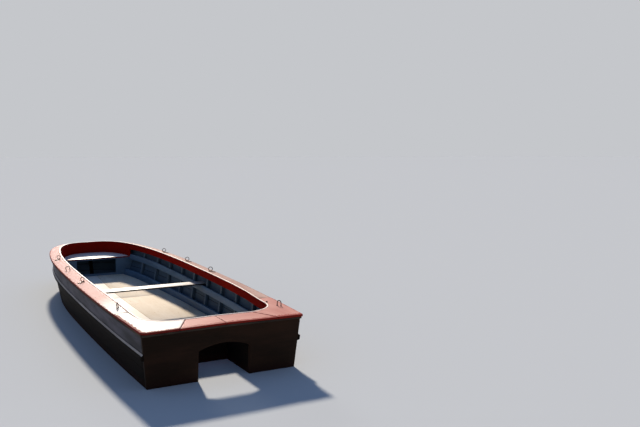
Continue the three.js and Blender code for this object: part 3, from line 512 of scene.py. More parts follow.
    @property
    def slot(self) -> str:
        """The material slot that the finish belongs to."""
        return self.value[0]

    @property
    def material(self) -> bpy.types.Material:
        """The finish's one material, made when it is first asked for."""
        finish = self.value[1]
        return bpy.data.materials.get(finish.name) or finish.make()


def shift_of(name: str) -> float:
    """A steady number from a name, so that no two boards show the same grain."""
    return (sum(ord(letter) for letter in name) % GRAIN_SHIFTS) * SHIFT_STEP


def mesh_array(items: bpy.types.bpy_prop_collection, key: str, width: int, kind: type) -> np.ndarray:
    """Reads one property of all vertices, loops or faces.

    Args:
        items: The vertices, loops or faces.
        key: The property.
        width: How many numbers each one has.
        kind: Type of the numbers.

    Returns:
        The numbers, as rows where an item has more than one.
    """
    values = np.empty(len(items) * width, kind)
    items.foreach_get(key, values)
    return values.reshape(-1, width) if width > 1 else values


def set_board_map(mesh: bpy.types.Mesh, uv: np.ndarray) -> None:
    """Gives a mesh its board map, one row for each corner of a face, in metres."""
    mesh.uv_layers.new(name=BOARD_UV).data.foreach_set("uv", uv.astype(np.float32).ravel())


def set_edge_wear(mesh: bpy.types.Mesh, near: np.ndarray) -> None:
    """Stores how near each point is to an arris, 0 to 1."""
    mesh.attributes.new(EDGE, "FLOAT", "POINT").data.foreach_set("value", near.astype(np.float32))


def turned_out(points: np.ndarray, faces: np.ndarray) -> bool:
    """Whether a closed skin of quads already faces outwards.

    The volume under the skin is the sum of a · (b × c) / 6 over its triangles, and it is
    positive when the faces point out.

    Args:
        points: The skin's points as (points, 3).
        faces: Its quads as (faces, 4).

    Returns:
        True if the faces point out.
    """
    a, b, c, d = (points[faces[:, i]] for i in range(QUAD))
    return bool((a * np.cross(b, c)).sum() + (a * np.cross(c, d)).sum() >= 0)


def rounded_section(corners: list[np.ndarray], radius: float,
                    band: float = WORN_STRIP) -> tuple[np.ndarray, np.ndarray]:
    """Rounds the corners of a section that is carried along a board.

    Each corner becomes a quadratic curve between the points one radius away on its two
    sides, (1 - t)² A + 2 t (1 - t) B + t² C, with a flat point one band further on.

    Args:
        corners: One (stations, 3) array for each corner, in order round the section.
        radius: Radius of the arris in metres.
        band: Width of the strip along the arris that wears, in metres.

    Returns:
        The points as (stations, around, 3), and how near each is to an arris, 0 to 1.
    """
    rings = []
    for i, corner in enumerate(corners):
        ends = []
        flats = []
        for other in (corners[i - 1], corners[(i + 1) % len(corners)]):
            side = other - corner
            length = np.linalg.norm(side, axis=1, keepdims=True)
            ends.append(corner + side * np.minimum(radius / length, ARRIS_SHARE))
            flats.append(corner + side * np.minimum((radius + band) / length, WORN_SHARE))
        arris = [(1 - t) ** 2 * ends[0] + 2 * t * (1 - t) * corner + t * t * ends[1] for t in ARRIS_STEPS]
        rings += [flats[0], *arris, flats[1]]
    near = [0.0, *(1.0 for _ in ARRIS_STEPS), 0.0] * len(corners)
    return np.stack(rings, axis=1), np.array(near)


def with_round_ends(rows: np.ndarray, radius: float) -> np.ndarray:
    """Rounds both ends of a board: the end ring is drawn in and the next one set back.

    Args:
        rows: The board's rings as (rings, around, 3).
        radius: Radius of the arrises at its ends.

    Returns:
        The rings, with one more at each end.
    """
    rows = rows.copy()
    result = [rows]
    for end, inward in ((0, 1), (-1, -2)):
        ring = rows[end]
        middle = ring.mean(axis=0)
        step = rows[inward].mean(axis=0) - middle
        step *= min(radius, ARRIS_SHARE * np.linalg.norm(step)) / np.linalg.norm(step)
        out = ring - middle
        span = np.linalg.norm(out, axis=1, keepdims=True)
        drawn = middle + out * (1 - np.minimum(radius / span, ARRIS_SHARE))
        rows[end] = ring + step
        result = [drawn[None], *result] if end == 0 else [*result, drawn[None]]
    return np.concatenate(result)


def skin(rings: np.ndarray, looped: bool = False) -> Skin:
    """Closes a row of rings into one skin that faces outwards.

    Args:
        rings: Points as (rings, around, 3).
        looped: Whether the last ring joins the first one; if not, both ends are capped.

    Returns:
        The points as (count, 3), and the faces.
    """
    count, around = rings.shape[:2]
    points = rings.reshape(-1, 3)
    i, j = np.meshgrid(np.arange(count if looped else count - 1), np.arange(around), indexing="ij")
    k = (j + 1) % around
    after = (i + 1) % count
    quads = np.stack([i * around + j, i * around + k, after * around + k, after * around + j], -1)
    quads = quads.reshape(-1, QUAD)
    first = np.arange(around)
    caps = [] if looped else [first[::-1], first + (count - 1) * around]
    if not turned_out(points - points.mean(axis=0), quads):
        quads = quads[:, ::-1]
        caps = [cap[::-1] for cap in caps]
    return points, quads.tolist() + [cap.tolist() for cap in caps]


def finish_piece(mesh: bpy.types.Mesh, name: str, finishes: tuple[Finish | None, ...],
                 nodes: tuple[str, ...], sharp: float) -> bpy.types.Object:
    """Puts a mesh in the scene as a piece of the boat.

    Args:
        mesh: The mesh, in metres in the boat's frame.
        name: Name of the piece.
        finishes: Its finishes, in the order of the mesh's materials; a None among them is
        left out.
        nodes: The CAD nodes that it stands for.
        sharp: Degrees between two faces over which their edge stays sharp.

    Returns:
        The new object.
    """
    mesh.shade_smooth()
    mesh.set_sharp_from_angle(angle=math.radians(sharp))
    piece = bpy.data.objects.new(name, mesh)
    bpy.context.scene.collection.objects.link(piece)
    for finish in filter(None, finishes):
        mesh.materials.append(finish.material)
    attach(piece, BODY)
    if nodes:
        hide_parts(*nodes)
    return piece


def joined_piece(name: str, skins: list[Skin], finish: Finish, nodes: tuple[str, ...]) -> bpy.types.Object:
    """Makes one smooth piece of several closed skins.

    Args:
        name: Name of the piece.
        skins: Points and faces of each skin.
        finish: Its finish.
        nodes: The CAD nodes that it stands for.

    Returns:
        The new object.
    """
    starts = np.cumsum([0] + [len(points) for points, _ in skins])
    faces = [[int(start) + corner for corner in face]
             for start, (_, part) in zip(starts, skins) for face in part]
    points = np.concatenate([points for points, _ in skins])
    mesh = bpy.data.meshes.new(name)
    mesh.from_pydata(points.tolist(), [], faces)
    set_board_map(mesh, points[mesh_array(mesh.loops, "vertex_index", 1, np.int32)][:, :2])
    return finish_piece(mesh, name, (finish,), nodes, SHARP_FITTING)


@dataclass(frozen=True)
class Dress:
    """What a swept board wears.

    Attributes:
        finish: Finish of the whole board.
        other: Finish of some sides of the section, if any.
        sides: Those sides; side i runs from corner i to corner i + 1.
        arrises: Whether the other finish goes round the arrises of those sides too.
    """

    finish: Finish
    other: Finish | None = None
    sides: tuple[int, ...] = ()
    arrises: bool = False


def map_swept(mesh: bpy.types.Mesh, rows: np.ndarray, shift: float) -> None:
    """Maps a swept board in metres along its path and round its section.

    The caps at its ends are mapped across the boat instead.

    Args:
        mesh: The board's mesh, whose points are the rows one after the other.
        rows: Points as (stations, around, 3).
        shift: What is added to the map, to move the grain.
    """
    stations, around = rows.shape[:2]
    along = np.linalg.norm(np.diff(rows.mean(axis=1), axis=0), axis=1)
    ring = np.concatenate([rows[stations // 2], rows[stations // 2][:1]])
    across = np.linalg.norm(np.diff(ring, axis=0), axis=1)
    along, across = (np.concatenate([[0.0], np.cumsum(steps)]) for steps in (along, across))
    corners = mesh_array(mesh.loops, "vertex_index", 1, np.int32)
    sizes = mesh_array(mesh.polygons, "loop_total", 1, np.int32)
    station, place = corners // around, corners % around
    strip = np.repeat(np.arange(len(sizes)) % around, sizes)
    wrapped = (strip == around - 1) & (place == 0)
    uv = np.stack([along[station], np.where(wrapped, across[-1], across[place])], -1)
    capped = np.repeat(sizes, sizes) > QUAD
    uv[capped] = rows.reshape(-1, 3)[corners[capped]][:, 1:]
    set_board_map(mesh, uv + shift)


def swept(name: str, rows: np.ndarray, near: np.ndarray, dress: Dress, nodes: tuple[str, ...],
          end_radius: float = 0.003) -> bpy.types.Object:
    """Makes a closed board from a section carried along a path.

    Args:
        name: Name of the piece.
        rows: Points as (stations, around, 3).
        near: How near each point round the section is to an arris.
        dress: The board's finishes.
        nodes: The CAD nodes that it stands for.
        end_radius: Radius of the arrises at the board's two ends.

    Returns:
        The new object.
    """
    rows = with_round_ends(rows, end_radius)
    stations, around = rows.shape[:2]
    points, faces = skin(rows)
    mesh = bpy.data.meshes.new(name)
    mesh.from_pydata(points.tolist(), [], faces)
    map_swept(mesh, rows, shift_of(name))
    set_edge_wear(mesh, np.tile(near, stations))
    piece = finish_piece(mesh, name, (dress.finish, dress.other), nodes, SHARP_BOARD)
    if dress.sides:
        sizes = mesh_array(mesh.polygons, "loop_total", 1, np.int32)
        quads = ARRIS_QUADS if dress.arrises else FACE_QUADS
        strips = (POINTS_PER_CORNER * np.array(dress.sides)[:, None] + quads).ravel() % around
        chosen = np.isin(np.arange(len(sizes)) % around, strips) & (sizes == QUAD)
        mesh.polygons.foreach_set("material_index", chosen.astype(np.int32))
    return piece


class Grain(Enum):
    """Which way the boards of a node run."""

    ALONG = 0
    ACROSS = 1
    UPRIGHT = 2


def distance_to_edges(points: np.ndarray, starts: np.ndarray, ends: np.ndarray) -> np.ndarray:
    """Distance from each point to the nearest of some straight edges.

    For each edge the nearest place is start + t (end - start), with t held between 0 and 1.

    Args:
        points: The points as (points, 3).
        starts: One end of each edge as (edges, 3).
        ends: The other end of each edge.

    Returns:
        One distance for each point.
    """
    run = ends - starts
    t = ((points[:, None] - starts) * run).sum(-1) / np.maximum((run * run).sum(-1), TINY)
    nearest = starts + np.clip(t, 0, 1)[..., None] * run
    return np.linalg.norm(points[:, None] - nearest, axis=-1).min(axis=1)


@dataclass(frozen=True)
class Softening:
    """How a CAD node's copy is rounded and dressed.

    Attributes:
        start: What the names of its nodes start with.
        finish: Finish of the board.
        grain: Which way the board runs.
        radius: Radius of its arrises in metres.
        grid: Spacing of extra points on the faces, for wear that fades from the edges; 0 for none.
        band: Width of that wear.
        other: Finish of the faces on one side, if any.
        facing: The way those faces look; its y is outboard.
        outboard: Whether only the edges along the boat's outline wear.
        merged: Distance under which the node's loose points are one, in metres.
        flat_under: Degrees between two faces under which they are one face.
        arris_over: Degrees between two faces over which their edge is rounded.
        fewest_cells: Grid spacings that a board is wide before it is cut in that direction.
        first_cut: Distance of the first cut from the board's end, as a share of the spacing.
        looks: Share of the facing direction in a normal from which a face has the other finish.
    """

    start: str
    finish: Finish
    grain: Grain
    radius: float = 0.004
    grid: float = 0.0
    band: float = 0.02
    other: Finish | None = None
    facing: tuple[float, float, float] = (0.0, 0.0, 0.0)
    outboard: bool = False
    merged: float = 1e-5
    flat_under: float = 0.6
    arris_over: float = 35.0
    fewest_cells: int = 4
    first_cut: float = 0.6
    looks: float = 0.5

    def make(self, node: bpy.types.Object) -> bpy.types.Object:
        """Makes the rounded copy of one node.

        Args:
            node: The CAD node, whose own mesh is left alone.

        Returns:
            The new piece.
        """
        mesh = bpy.data.meshes.new(f"{node.name}_board")
        starts, ends = self.round_arrises(node.data, mesh)
        if self.grid:
            self.wear_edges(mesh, starts, ends)
        self.map_board(mesh, shift_of(node.name))
        piece = finish_piece(mesh, mesh.name, (self.finish, self.other), (node.name,), SHARP_COPY)
        if self.other is not None:
            side = SIDES["starboard" if "starboard" in node.name else "port"]
            facing = np.array(self.facing) * (1, side, 1)
            chosen = mesh_array(mesh.polygons, "normal", 3, np.float32) @ facing > self.looks
            mesh.polygons.foreach_set("material_index", chosen.astype(np.int32))
        return piece

    def round_arrises(self, source: bpy.types.Mesh, mesh: bpy.types.Mesh) -> tuple[np.ndarray, np.ndarray]:
        """Merges a node's loose triangles and rounds the sharp edges.

        Args:
            source: The node's mesh.
            mesh: The empty mesh that gets the result.

        Returns:
            Both ends of the edges that were sharp, each as (edges, 3).
        """
        form = bmesh.new()
        form.from_mesh(source)
        bmesh.ops.remove_doubles(form, verts=form.verts, dist=self.merged)
        bmesh.ops.dissolve_limit(form, angle_limit=math.radians(self.flat_under),
                                 verts=form.verts, edges=form.edges)
        worn = form.faces.layers.float.new(EDGE)
        limit = math.radians(self.arris_over)
        sharp = [e for e in form.edges if e.is_manifold and e.calc_face_angle() > limit]
        starts, ends = (np.array([e.verts[i].co[:] for e in sharp]) for i in (0, 1))
        made = bmesh.ops.bevel(form, geom=sharp, offset=self.radius, segments=2, profile=0.5,
                               affect="EDGES", clamp_overlap=True)
        for face in made["faces"]:
            face[worn] = 1.0
        if self.grid:
            form.faces.layers.float.remove(worn)
            self.cut_grid(form)
        bmesh.ops.triangulate(form, faces=[f for f in form.faces if len(f.verts) > QUAD])
        form.to_mesh(mesh)
        form.free()
        return starts, ends

    def wear_edges(self, mesh: bpy.types.Mesh, starts: np.ndarray, ends: np.ndarray) -> None:
        """Stores a wear that is full at the sharp edges and none one band away.

        Args:
            mesh: The rounded mesh.
            starts: One end of each edge that was sharp.
            ends: The other end of each.
        """
        if self.outboard:
            middle = (starts + ends) / 2
            stern = -LINES.length / 2
            half = LINES.half_width(LINES.inset_plan(0, 0), middle[:, 0] - stern)
            kept = (np.abs(middle[:, 1]) > half - self.band) | (middle[:, 0] < stern + self.band)
            starts, ends = starts[kept], ends[kept]
        away = distance_to_edges(mesh_array(mesh.vertices, "co", 3, np.float32), starts, ends)
        set_edge_wear(mesh, np.clip(1 - away / self.band, 0, 1))

    def cut_grid(self, form: bmesh.types.BMesh) -> None:
        """Cuts the faces along even planes, so that wear can be told point by point.

        Args:
            form: The rounded form, cut only along the axes in which it is wide enough.
        """
        points = np.array([v.co[:] for v in form.verts])
        for axis in range(3):
            low, high = points[:, axis].min(), points[:, axis].max()
            if high - low < self.fewest_cells * self.grid:
                continue
            for value in np.arange(low + self.grid * self.first_cut, high, self.grid):
                place = Vector((0, 0, 0))
                place[axis] = value
                normal = Vector((0, 0, 0))
                normal[axis] = 1.0
                parts = [*form.verts, *form.edges, *form.faces]
                bmesh.ops.bisect_plane(form, geom=parts, plane_co=place, plane_no=normal)

    def map_board(self, mesh: bpy.types.Mesh, shift: float) -> None:
        """Gives a mesh its board map.

        The map's first value is the coordinate along the grain and its second the one
        that lies in the face across the grain, both in metres.

        Args:
            mesh: The mesh.
            shift: What is added along the grain.
        """
        corners = mesh_array(mesh.loops, "vertex_index", 1, np.int32)
        sizes = mesh_array(mesh.polygons, "loop_total", 1, np.int32)
        normals = np.repeat(np.abs(mesh_array(mesh.polygons, "normal", 3, np.float32)), sizes, axis=0)
        place = mesh_array(mesh.vertices, "co", 3, np.float32)[corners]
        one, two = (axis for axis in range(3) if axis != self.grain.value)
        across = np.where(normals[:, one] > normals[:, two], place[:, two], place[:, one])
        set_board_map(mesh, np.stack([place[:, self.grain.value] + shift, across], -1))


@dataclass(frozen=True)
class Plan:
    """An outline seen from above.

    Attributes:
        stern: Half width at the stern.
        middle: Half width at the widest station.
        tip: Station of its tip at the bow.
        power: Second power of the superellipse round the bow.
    """

    stern: float
    middle: float
    tip: float
    power: float


@dataclass(frozen=True)
class HullLines:
    """The lines that every board of the hull follows, in metres.

    A station is a distance forward of the stern deck's aft edge, and heights are over the
    flat bottom.

    Attributes:
        length, stern_half, half_beam: The deck's outline: its length, and its half width
            at the stern and at the widest station.
        widest, stern_fullness: That station, and the power of the curve aft of it.
        bow_length_power, bow_width_power: Powers of the superellipse round the bow.
        chine_width_power: The second power for the chine, which is less bluff.
        deck_at_stern, sheer_rise, sheer_spring: Height of the deck's edge at the stern,
            and what it gains along the boat, straight and with the square.
        bottom_rise, rise_start: Rise of the bottom at the bow, and where it starts.
        overhang: How far the deck stands out over the planks.
        lean_stern, lean_middle, stem_rake: How far the chine lies in from the sheer.
        deck_thickness, deck_width, bow_deck_width: Sizes of the deck boards.
        rise_stations, rises: Rise of the deck from its outer to its inner edge.
        quarter_end, quarter_step: End of the stern's deck boards, and their step up.
        crown, crown_end: Rise of those boards to the centreline, from this half width.
        bedding, gap: Clearance under the deck and round the outer boards.
        bottom_thickness, transom_thickness: Thickness of those boards.
        transom_overhang, transom_rake: How far the transom stands in under the deck, and
            its slope forward for each metre down.
        first_frame, frame_spacing, frames: Station of the first frame, the distance
            between frames and their number.
        stem_half: Half width of the stem.
        split: Station from which points are even along the curve.
        aft_steps, aft_reach: Number of even stations in so many metres aft of the split.
        least_steps: The fewest of them on a line that starts near the split.
        bow_steps, dense_steps: Number of points round the bow, and of those they come from.
    """

    length: float = 6.3
    stern_half: float = 0.795
    half_beam: float = 0.888
    widest: float = 2.84
    stern_fullness: float = 2.1
    bow_length_power: float = 2.68
    bow_width_power: float = 3.35
    chine_width_power: float = 2.6
    deck_at_stern: float = 0.603
    sheer_rise: float = 0.094
    sheer_spring: float = -0.019
    bottom_rise: float = 0.15
    rise_start: float = 3.7
    overhang: float = 0.015
    lean_stern: float = 0.056
    lean_middle: float = 0.094
    stem_rake: float = 0.261
    deck_thickness: float = 0.02
    deck_width: float = 0.147
    bow_deck_width: float = 0.115
    rise_stations: tuple[float, ...] = (0.0, 0.6, 0.85, 1.2, 1.7, 5.0, 6.3)
    rises: tuple[float, ...] = (0.004, 0.004, 0.008, 0.024, 0.028, 0.026, 0.023)
    quarter_end: float = 0.85
    quarter_step: float = 0.002
    crown: float = 0.01
    crown_end: float = 0.85
    bedding: float = 0.0016
    gap: float = 0.0004
    bottom_thickness: float = 0.022
    transom_overhang: float = 0.033
    transom_thickness: float = 0.045
    transom_rake: float = 0.09
    first_frame: float = 1.165
    frame_spacing: float = 0.511
    frames: int = 9
    stem_half: float = 0.0303
    split: float = 5.25
    aft_steps: int = 56
    aft_reach: float = 5.0
    least_steps: int = 6
    bow_steps: int = 48
    dense_steps: int = 1200

    def deck_edge(self, station: np.ndarray) -> np.ndarray:
        """Height of the deck's edge: a straight rise and a square one along the boat."""
        t = np.asarray(station) / self.length
        return self.deck_at_stern + self.sheer_rise * t + self.sheer_spring * t * t

    def deck_rise(self, station: np.ndarray) -> np.ndarray:
        """Rise of the side deck from its outer to its inner edge, straight between stations."""
        return np.interp(station, self.rise_stations, self.rises)

    def quarter_top(self, station: np.ndarray, half: np.ndarray) -> np.ndarray:
        """Height of the quarter boards, which rise to the centreline in one straight slope."""
        crown = self.crown * (self.crown_end - np.abs(half)) / self.crown_end
        return self.deck_edge(station) + crown + self.quarter_step

    def bottom(self, station: np.ndarray) -> np.ndarray:
        """Height of the flat bottom, which rises with the square of the way to the bow."""
        t = np.maximum(0.0, np.asarray(station) - self.rise_start) / (self.length - self.rise_start)
        return self.bottom_rise * t * t

    def transom_aft(self, height: np.ndarray) -> np.ndarray:
        """Station of the transom's raked aft face at a height."""
        return self.transom_overhang + self.transom_rake * (self.deck_at_stern - height)

    def inset_plan(self, side: float, bow: float) -> Plan:
        """The deck's outline, moved in by one distance at the sides and one at the bow."""
        return Plan(self.stern_half - side, self.half_beam - side, self.length - bow, self.bow_width_power)

    def half_width(self, plan: Plan, station: np.ndarray) -> np.ndarray:
        """Half width of an outline: a power curve aft of the widest station, a superellipse forward.

        Args:
            plan: The outline.
            station: One station or more.

        Returns:
            The half width at each.
        """
        station = np.asarray(station, float)
        aft = np.maximum(0.0, 1 - station / self.widest) ** self.stern_fullness
        ahead = np.clip((station - self.widest) / (plan.tip - self.widest), 0.0, 1.0)
        bow = plan.middle * (1 - ahead ** self.bow_length_power) ** (1 / plan.power)
        return np.where(station <= self.widest, plan.middle - (plan.middle - plan.stern) * aft, bow)

    def line(self, plan: Plan, start: float, end_half: float, stop: float = 0.0) -> np.ndarray:
        """Points of an outline from a station round to a distance off the centreline.

        Stations are even up to the split; round the bow the points are even along the curve.

        Args:
            plan: The outline.
            start: First station.
            end_half: Half width at the last point.
            stop: Last station, for a line that doesn't reach the bow.

        Returns:
            (points, 2) stations and half widths.
        """
        if stop:
            stations = np.linspace(start, stop, self.aft_steps)
            return np.stack([stations, self.half_width(plan, stations)], -1)
        steps = int(self.aft_steps * (self.split - start) / self.aft_reach)
        stations = np.linspace(start, self.split, max(self.least_steps, steps))
        aft = np.stack([stations, self.half_width(plan, stations)], -1)
        angle = np.linspace(0, math.pi / 2, self.dense_steps)
        along = self.widest + (plan.tip - self.widest) * np.sin(angle) ** (2 / self.bow_length_power)
        half = plan.middle * np.abs(np.cos(angle)) ** (2 / plan.power)
        kept = (along > self.split) & (half > end_half)
        dense = np.stack([along[kept], half[kept]], -1)
        dense = np.concatenate([aft[-1:], dense, [[plan.tip, end_half]]])
        run = np.concatenate([[0.0], np.cumsum(np.linalg.norm(np.diff(dense, axis=0), axis=1))])
        even = np.linspace(0, run[-1], self.bow_steps + 1)[1:]
        bow = np.stack([np.interp(even, run, dense[:, 0]), np.interp(even, run, dense[:, 1])], -1)
        return np.concatenate([aft, bow])

    def moved(self, line: np.ndarray, distance: float) -> np.ndarray:
        """Moves a line outboard, square to itself.

        Args:
            line: (points, 2) stations and half widths.
            distance: How far.

        Returns:
            The new line.
        """
        along = np.gradient(line, axis=0)
        along /= np.linalg.norm(along, axis=1, keepdims=True)
        return line + np.stack([-along[:, 1], along[:, 0]], -1) * distance

    def rulings(self, inset: float) -> tuple[np.ndarray, np.ndarray]:
        """Ends of the straight lines that rule the hull side, at the chine and at the sheer.

        Args:
            inset: Distance in from the outer face.

        Returns:
            The low and the high ends, each (points, 3) stations, half widths and heights.
        """
        sheer_plan = self.inset_plan(self.overhang, self.overhang)
        chine_plan = Plan(self.stern_half - self.overhang - self.lean_stern,
                          self.half_beam - self.overhang - self.lean_middle,
                          self.length - self.overhang - self.stem_rake, self.chine_width_power)
        front = self.transom_thickness + self.gap
        under = self.deck_at_stern - self.deck_thickness
        sheer = self.line(sheer_plan, float(self.transom_aft(under)) + front, self.stem_half)
        chine = self.line(chine_plan, float(self.transom_aft(0.0)) + front, self.stem_half)
        rise = self.deck_rise(sheer[:, :1]) * self.overhang / self.deck_width
        top = self.deck_edge(sheer[:, :1]) - self.deck_thickness + rise
        low = np.concatenate([self.moved(chine, -inset), self.bottom(chine[:, :1])], -1)
        return low, np.concatenate([self.moved(sheer, -inset), top], -1)

    def side_point(self, inset: float, height: np.ndarray) -> np.ndarray:
        """Points of the hull side at given heights: low + (high - low) t on each ruling.

        Args:
            inset: Distance in from the outer face.
            height: One height for each ruling.

        Returns:
            (points, 3) stations, half widths and heights.
        """
        low, high = self.rulings(inset)
        t = (height - low[:, 2]) / (high[:, 2] - low[:, 2])
        return low + (high - low) * t[:, None]

    def side_half(self, station: float, height: float) -> float:
        """Half width of the planks' outer face at one station and height."""
        points = self.side_point(0.0, np.full(len(self.rulings(0.0)[0]), height))
        return float(np.interp(station, points[:, 0], points[:, 1]))


LINES = HullLines()


def in_boat(points: np.ndarray, sign: float = 1.0) -> np.ndarray:
    """Turns stations, half widths and heights into the boat's frame, on one side."""
    return np.stack([points[..., 0] - LINES.length / 2, points[..., 1] * sign, points[..., 2]], -1)


def swept_between(name: str, corners: list[tuple[np.ndarray, np.ndarray]], sign: float, radius: float,
                  dress: Dress, node: str, band: float = WORN_STRIP) -> bpy.types.Object:
    """Makes a board whose section's corners follow lines and heights.

    Args:
        name: Name of the piece.
        corners: A (points, 2) line and its (points, 1) heights for each corner.
        sign: 1 for a board to port, -1 for its mirror image to starboard.
        radius: Radius of its arrises in metres.
        dress: Its finishes.
        node: The CAD node that it stands for.
        band: Width of the strip along an arris that wears, in metres.

    Returns:
        The new object.
    """
    paths = [in_boat(np.concatenate(corner, -1), sign) for corner in corners]
    return swept(name, *rounded_section(paths, radius, band), dress, (node,))


@dataclass
class HullSides:
    """Planks, rub strakes and mouldings of both sides.

    Attributes:
        plank: Thickness of a plank.
        plank_arris: Radius of a lower plank's arrises.
        seam: Width of a seam between planks.
        lower_planks: Number of planks under the top strake.
        strake_depth: Depth of the grey top strake below the deck's top.
        strake_arris: Radius of the top strake's arrises.
        rub_top: Depth of the rub strake's top below the deck's top.
        rub_height: Height of the rub strake.
        rub_proud: How far it stands out.
        rub_slopes: How much its outer face is cut back at the top and at the foot.
        rub_arris: Radius of its arrises.
        moulding_height: Height of the moulding under the deck's edge.
        moulding_proud: How far the moulding stands out.
        moulding_arris: Radius of its arrises.
    """

    plank: float = 0.018
    plank_arris: float = 0.002
    seam: float = 0.0012
    lower_planks: int = 3
    strake_depth: float = 0.235
    strake_arris: float = 0.003
    rub_top: float = 0.2
    rub_height: float = 0.07
    rub_proud: float = 0.025
    rub_slopes: tuple[float, float] = (0.02, 0.01)
    rub_arris: float = 0.005
    moulding_height: float = 0.022
    moulding_proud: float = 0.011
    moulding_arris: float = 0.006

    def strip(self, name: str, sign: float, corners: list[tuple[float, np.ndarray]], radius: float,
              dress: Dress, node: str) -> bpy.types.Object:
        """Carries a section along one side of the hull.

        A strip outside the planks runs on over the end of the transom.

        Args:
            name: Name of the piece.
            sign: 1 to port, -1 to starboard.
            corners: Inset from the planks' outer face and heights of each corner.
            radius: Radius of its arrises.
            dress: Its finishes.
            node: The CAD node that it stands for.

        Returns:
            The new object.
        """
        lines = []
        for inset, height in corners:
            path = LINES.side_point(inset, height)
            if corners[0][0] < 0:
                aft = path[:1].copy()
                aft[:, 0] = LINES.transom_aft(aft[:, 2])
                path = np.concatenate([aft, path])
            lines.append((path[:, :2], path[:, 2:]))
        return swept_between(name, lines, sign, radius, dress, node)

    def build(self) -> list[bpy.types.Object]:
        """Builds both sides.

        Returns:
            The pieces.
        """
        chine, sheer = LINES.rulings(0.0)
        low, high = chine[:, 2] + LINES.bottom_thickness, sheer[:, 2]
        slope = LINES.deck_rise(sheer[:, 0]) / LINES.deck_width
        tops = {inset: high - LINES.bedding + slope * inset
                for inset in (0, self.plank, -self.moulding_proud)}
        seam_height = high + LINES.deck_thickness - self.strake_depth
        rub_high = high + LINES.deck_thickness - self.rub_top
        rub_low = rub_high - self.rub_height
        high_slope, low_slope = self.rub_slopes
        levels = [low + (seam_height - low) * i / self.lower_planks for i in range(self.lower_planks + 1)]
        rows = [(f"lower_plank_{i + 1}_{{}}", "lower_side",
                 self.plank_section(bottom + self.seam / 2, top - self.seam / 2, top - self.seam / 2),
                 self.plank_arris, Dress(Finish.HULL, Finish.INSIDE, (2,)))
                for i, (bottom, top) in enumerate(zip(levels, levels[1:]))]
        rows.append(("top_strake_{}", "upper_side",
                     self.plank_section(seam_height, tops[0], tops[self.plank]),
                     self.strake_arris, Dress(Finish.STRAKE, Finish.INSIDE, (2,))))
        rows.append(("rub_strake_{}_board", "rub_strake",
                     [(-LINES.gap, rub_low), (-LINES.gap, rub_high),
                      (-self.rub_proud, rub_high - high_slope), (-self.rub_proud, rub_low + low_slope)],
                     self.rub_arris, Dress(Finish.HULL, Finish.RUBBED_WOOD, (1,))))
        outer_top = tops[-self.moulding_proud]
        # The sheer moulding's dark finish is partly painted shade under the deck's edge
        rows.append(("sheer_moulding_{}_board", "sheer_moulding",
                     [(-LINES.gap, tops[0] - self.moulding_height), (-LINES.gap, tops[0]),
                      (-self.moulding_proud, outer_top),
                      (-self.moulding_proud, outer_top - self.moulding_height)],
                     self.moulding_arris, Dress(Finish.MOULDING)))
        return [self.strip(name.format(side), sign, corners, radius, dress, f"{node}_{side}")
                for side, sign in SIDES.items() for name, node, corners, radius, dress in rows]

    def plank_section(self, bottom: np.ndarray, top: np.ndarray,
                      inner_top: np.ndarray) -> list[tuple[float, np.ndarray]]:
        """Corners of a plank: up its outer face, then down its inner one."""
        return [(0, bottom), (0, top), (self.plank, inner_top), (self.plank, bottom)]


@dataclass
class Deck:
    """Side and bow boards of the deck, swept along the hull's outline.

    Attributes:
        bow_start: Station at which the bow boards begin.
        seam: Width of a seam between boards.
        arris: Radius of their arrises.
        worn_band: Width of the strip along an arris that wears.
    """

    bow_start: float = 4.9
    seam: float = 0.0025
    arris: float = 0.006
    worn_band: float = 0.02

    def strip(self, name: str, sign: float, outer: np.ndarray, inner: np.ndarray,
              node: str) -> bpy.types.Object:
        """Carries the deck's flat section between its outer and inner lines.

        Args:
            name: Name of the piece.
            sign: 1 to port, -1 to starboard.
            outer: Its outer line, as (points, 2) stations and half widths.
            inner: Its inner line, with as many points.
            node: The CAD node that it stands for.

        Returns:
            The new object.
        """
        edge = LINES.deck_edge(outer[:, :1])
        rim = LINES.deck_edge(inner[:, :1]) + LINES.deck_rise(inner[:, :1])
        thick = LINES.deck_thickness
        corners = [(outer, edge), (inner, rim), (inner, rim - thick), (outer, edge - thick)]
        dress = Dress(Finish.DECK_PORT if sign > 0 else Finish.DECK_SIDE)
        return swept_between(name, corners, sign, self.arris, dress, node, self.worn_band)

    def build(self) -> list[bpy.types.Object]:
        """Builds the four boards along the sides and round the bow.

        Returns:
            The pieces.
        """
        plans = (LINES.inset_plan(0.0, 0.0), LINES.inset_plan(LINES.deck_width, LINES.bow_deck_width))
        boards = {
            "side_deck": [LINES.line(plan, LINES.quarter_end, 0.0, self.bow_start - self.seam)
                          for plan in plans],
            "bow_deck": [LINES.line(plan, self.bow_start, self.seam / 2) for plan in plans],
        }
        return [self.strip(f"{board}_{side}_board", sign, *lines, f"{board}_{side}")
                for side, sign in SIDES.items() for board, lines in boards.items()]


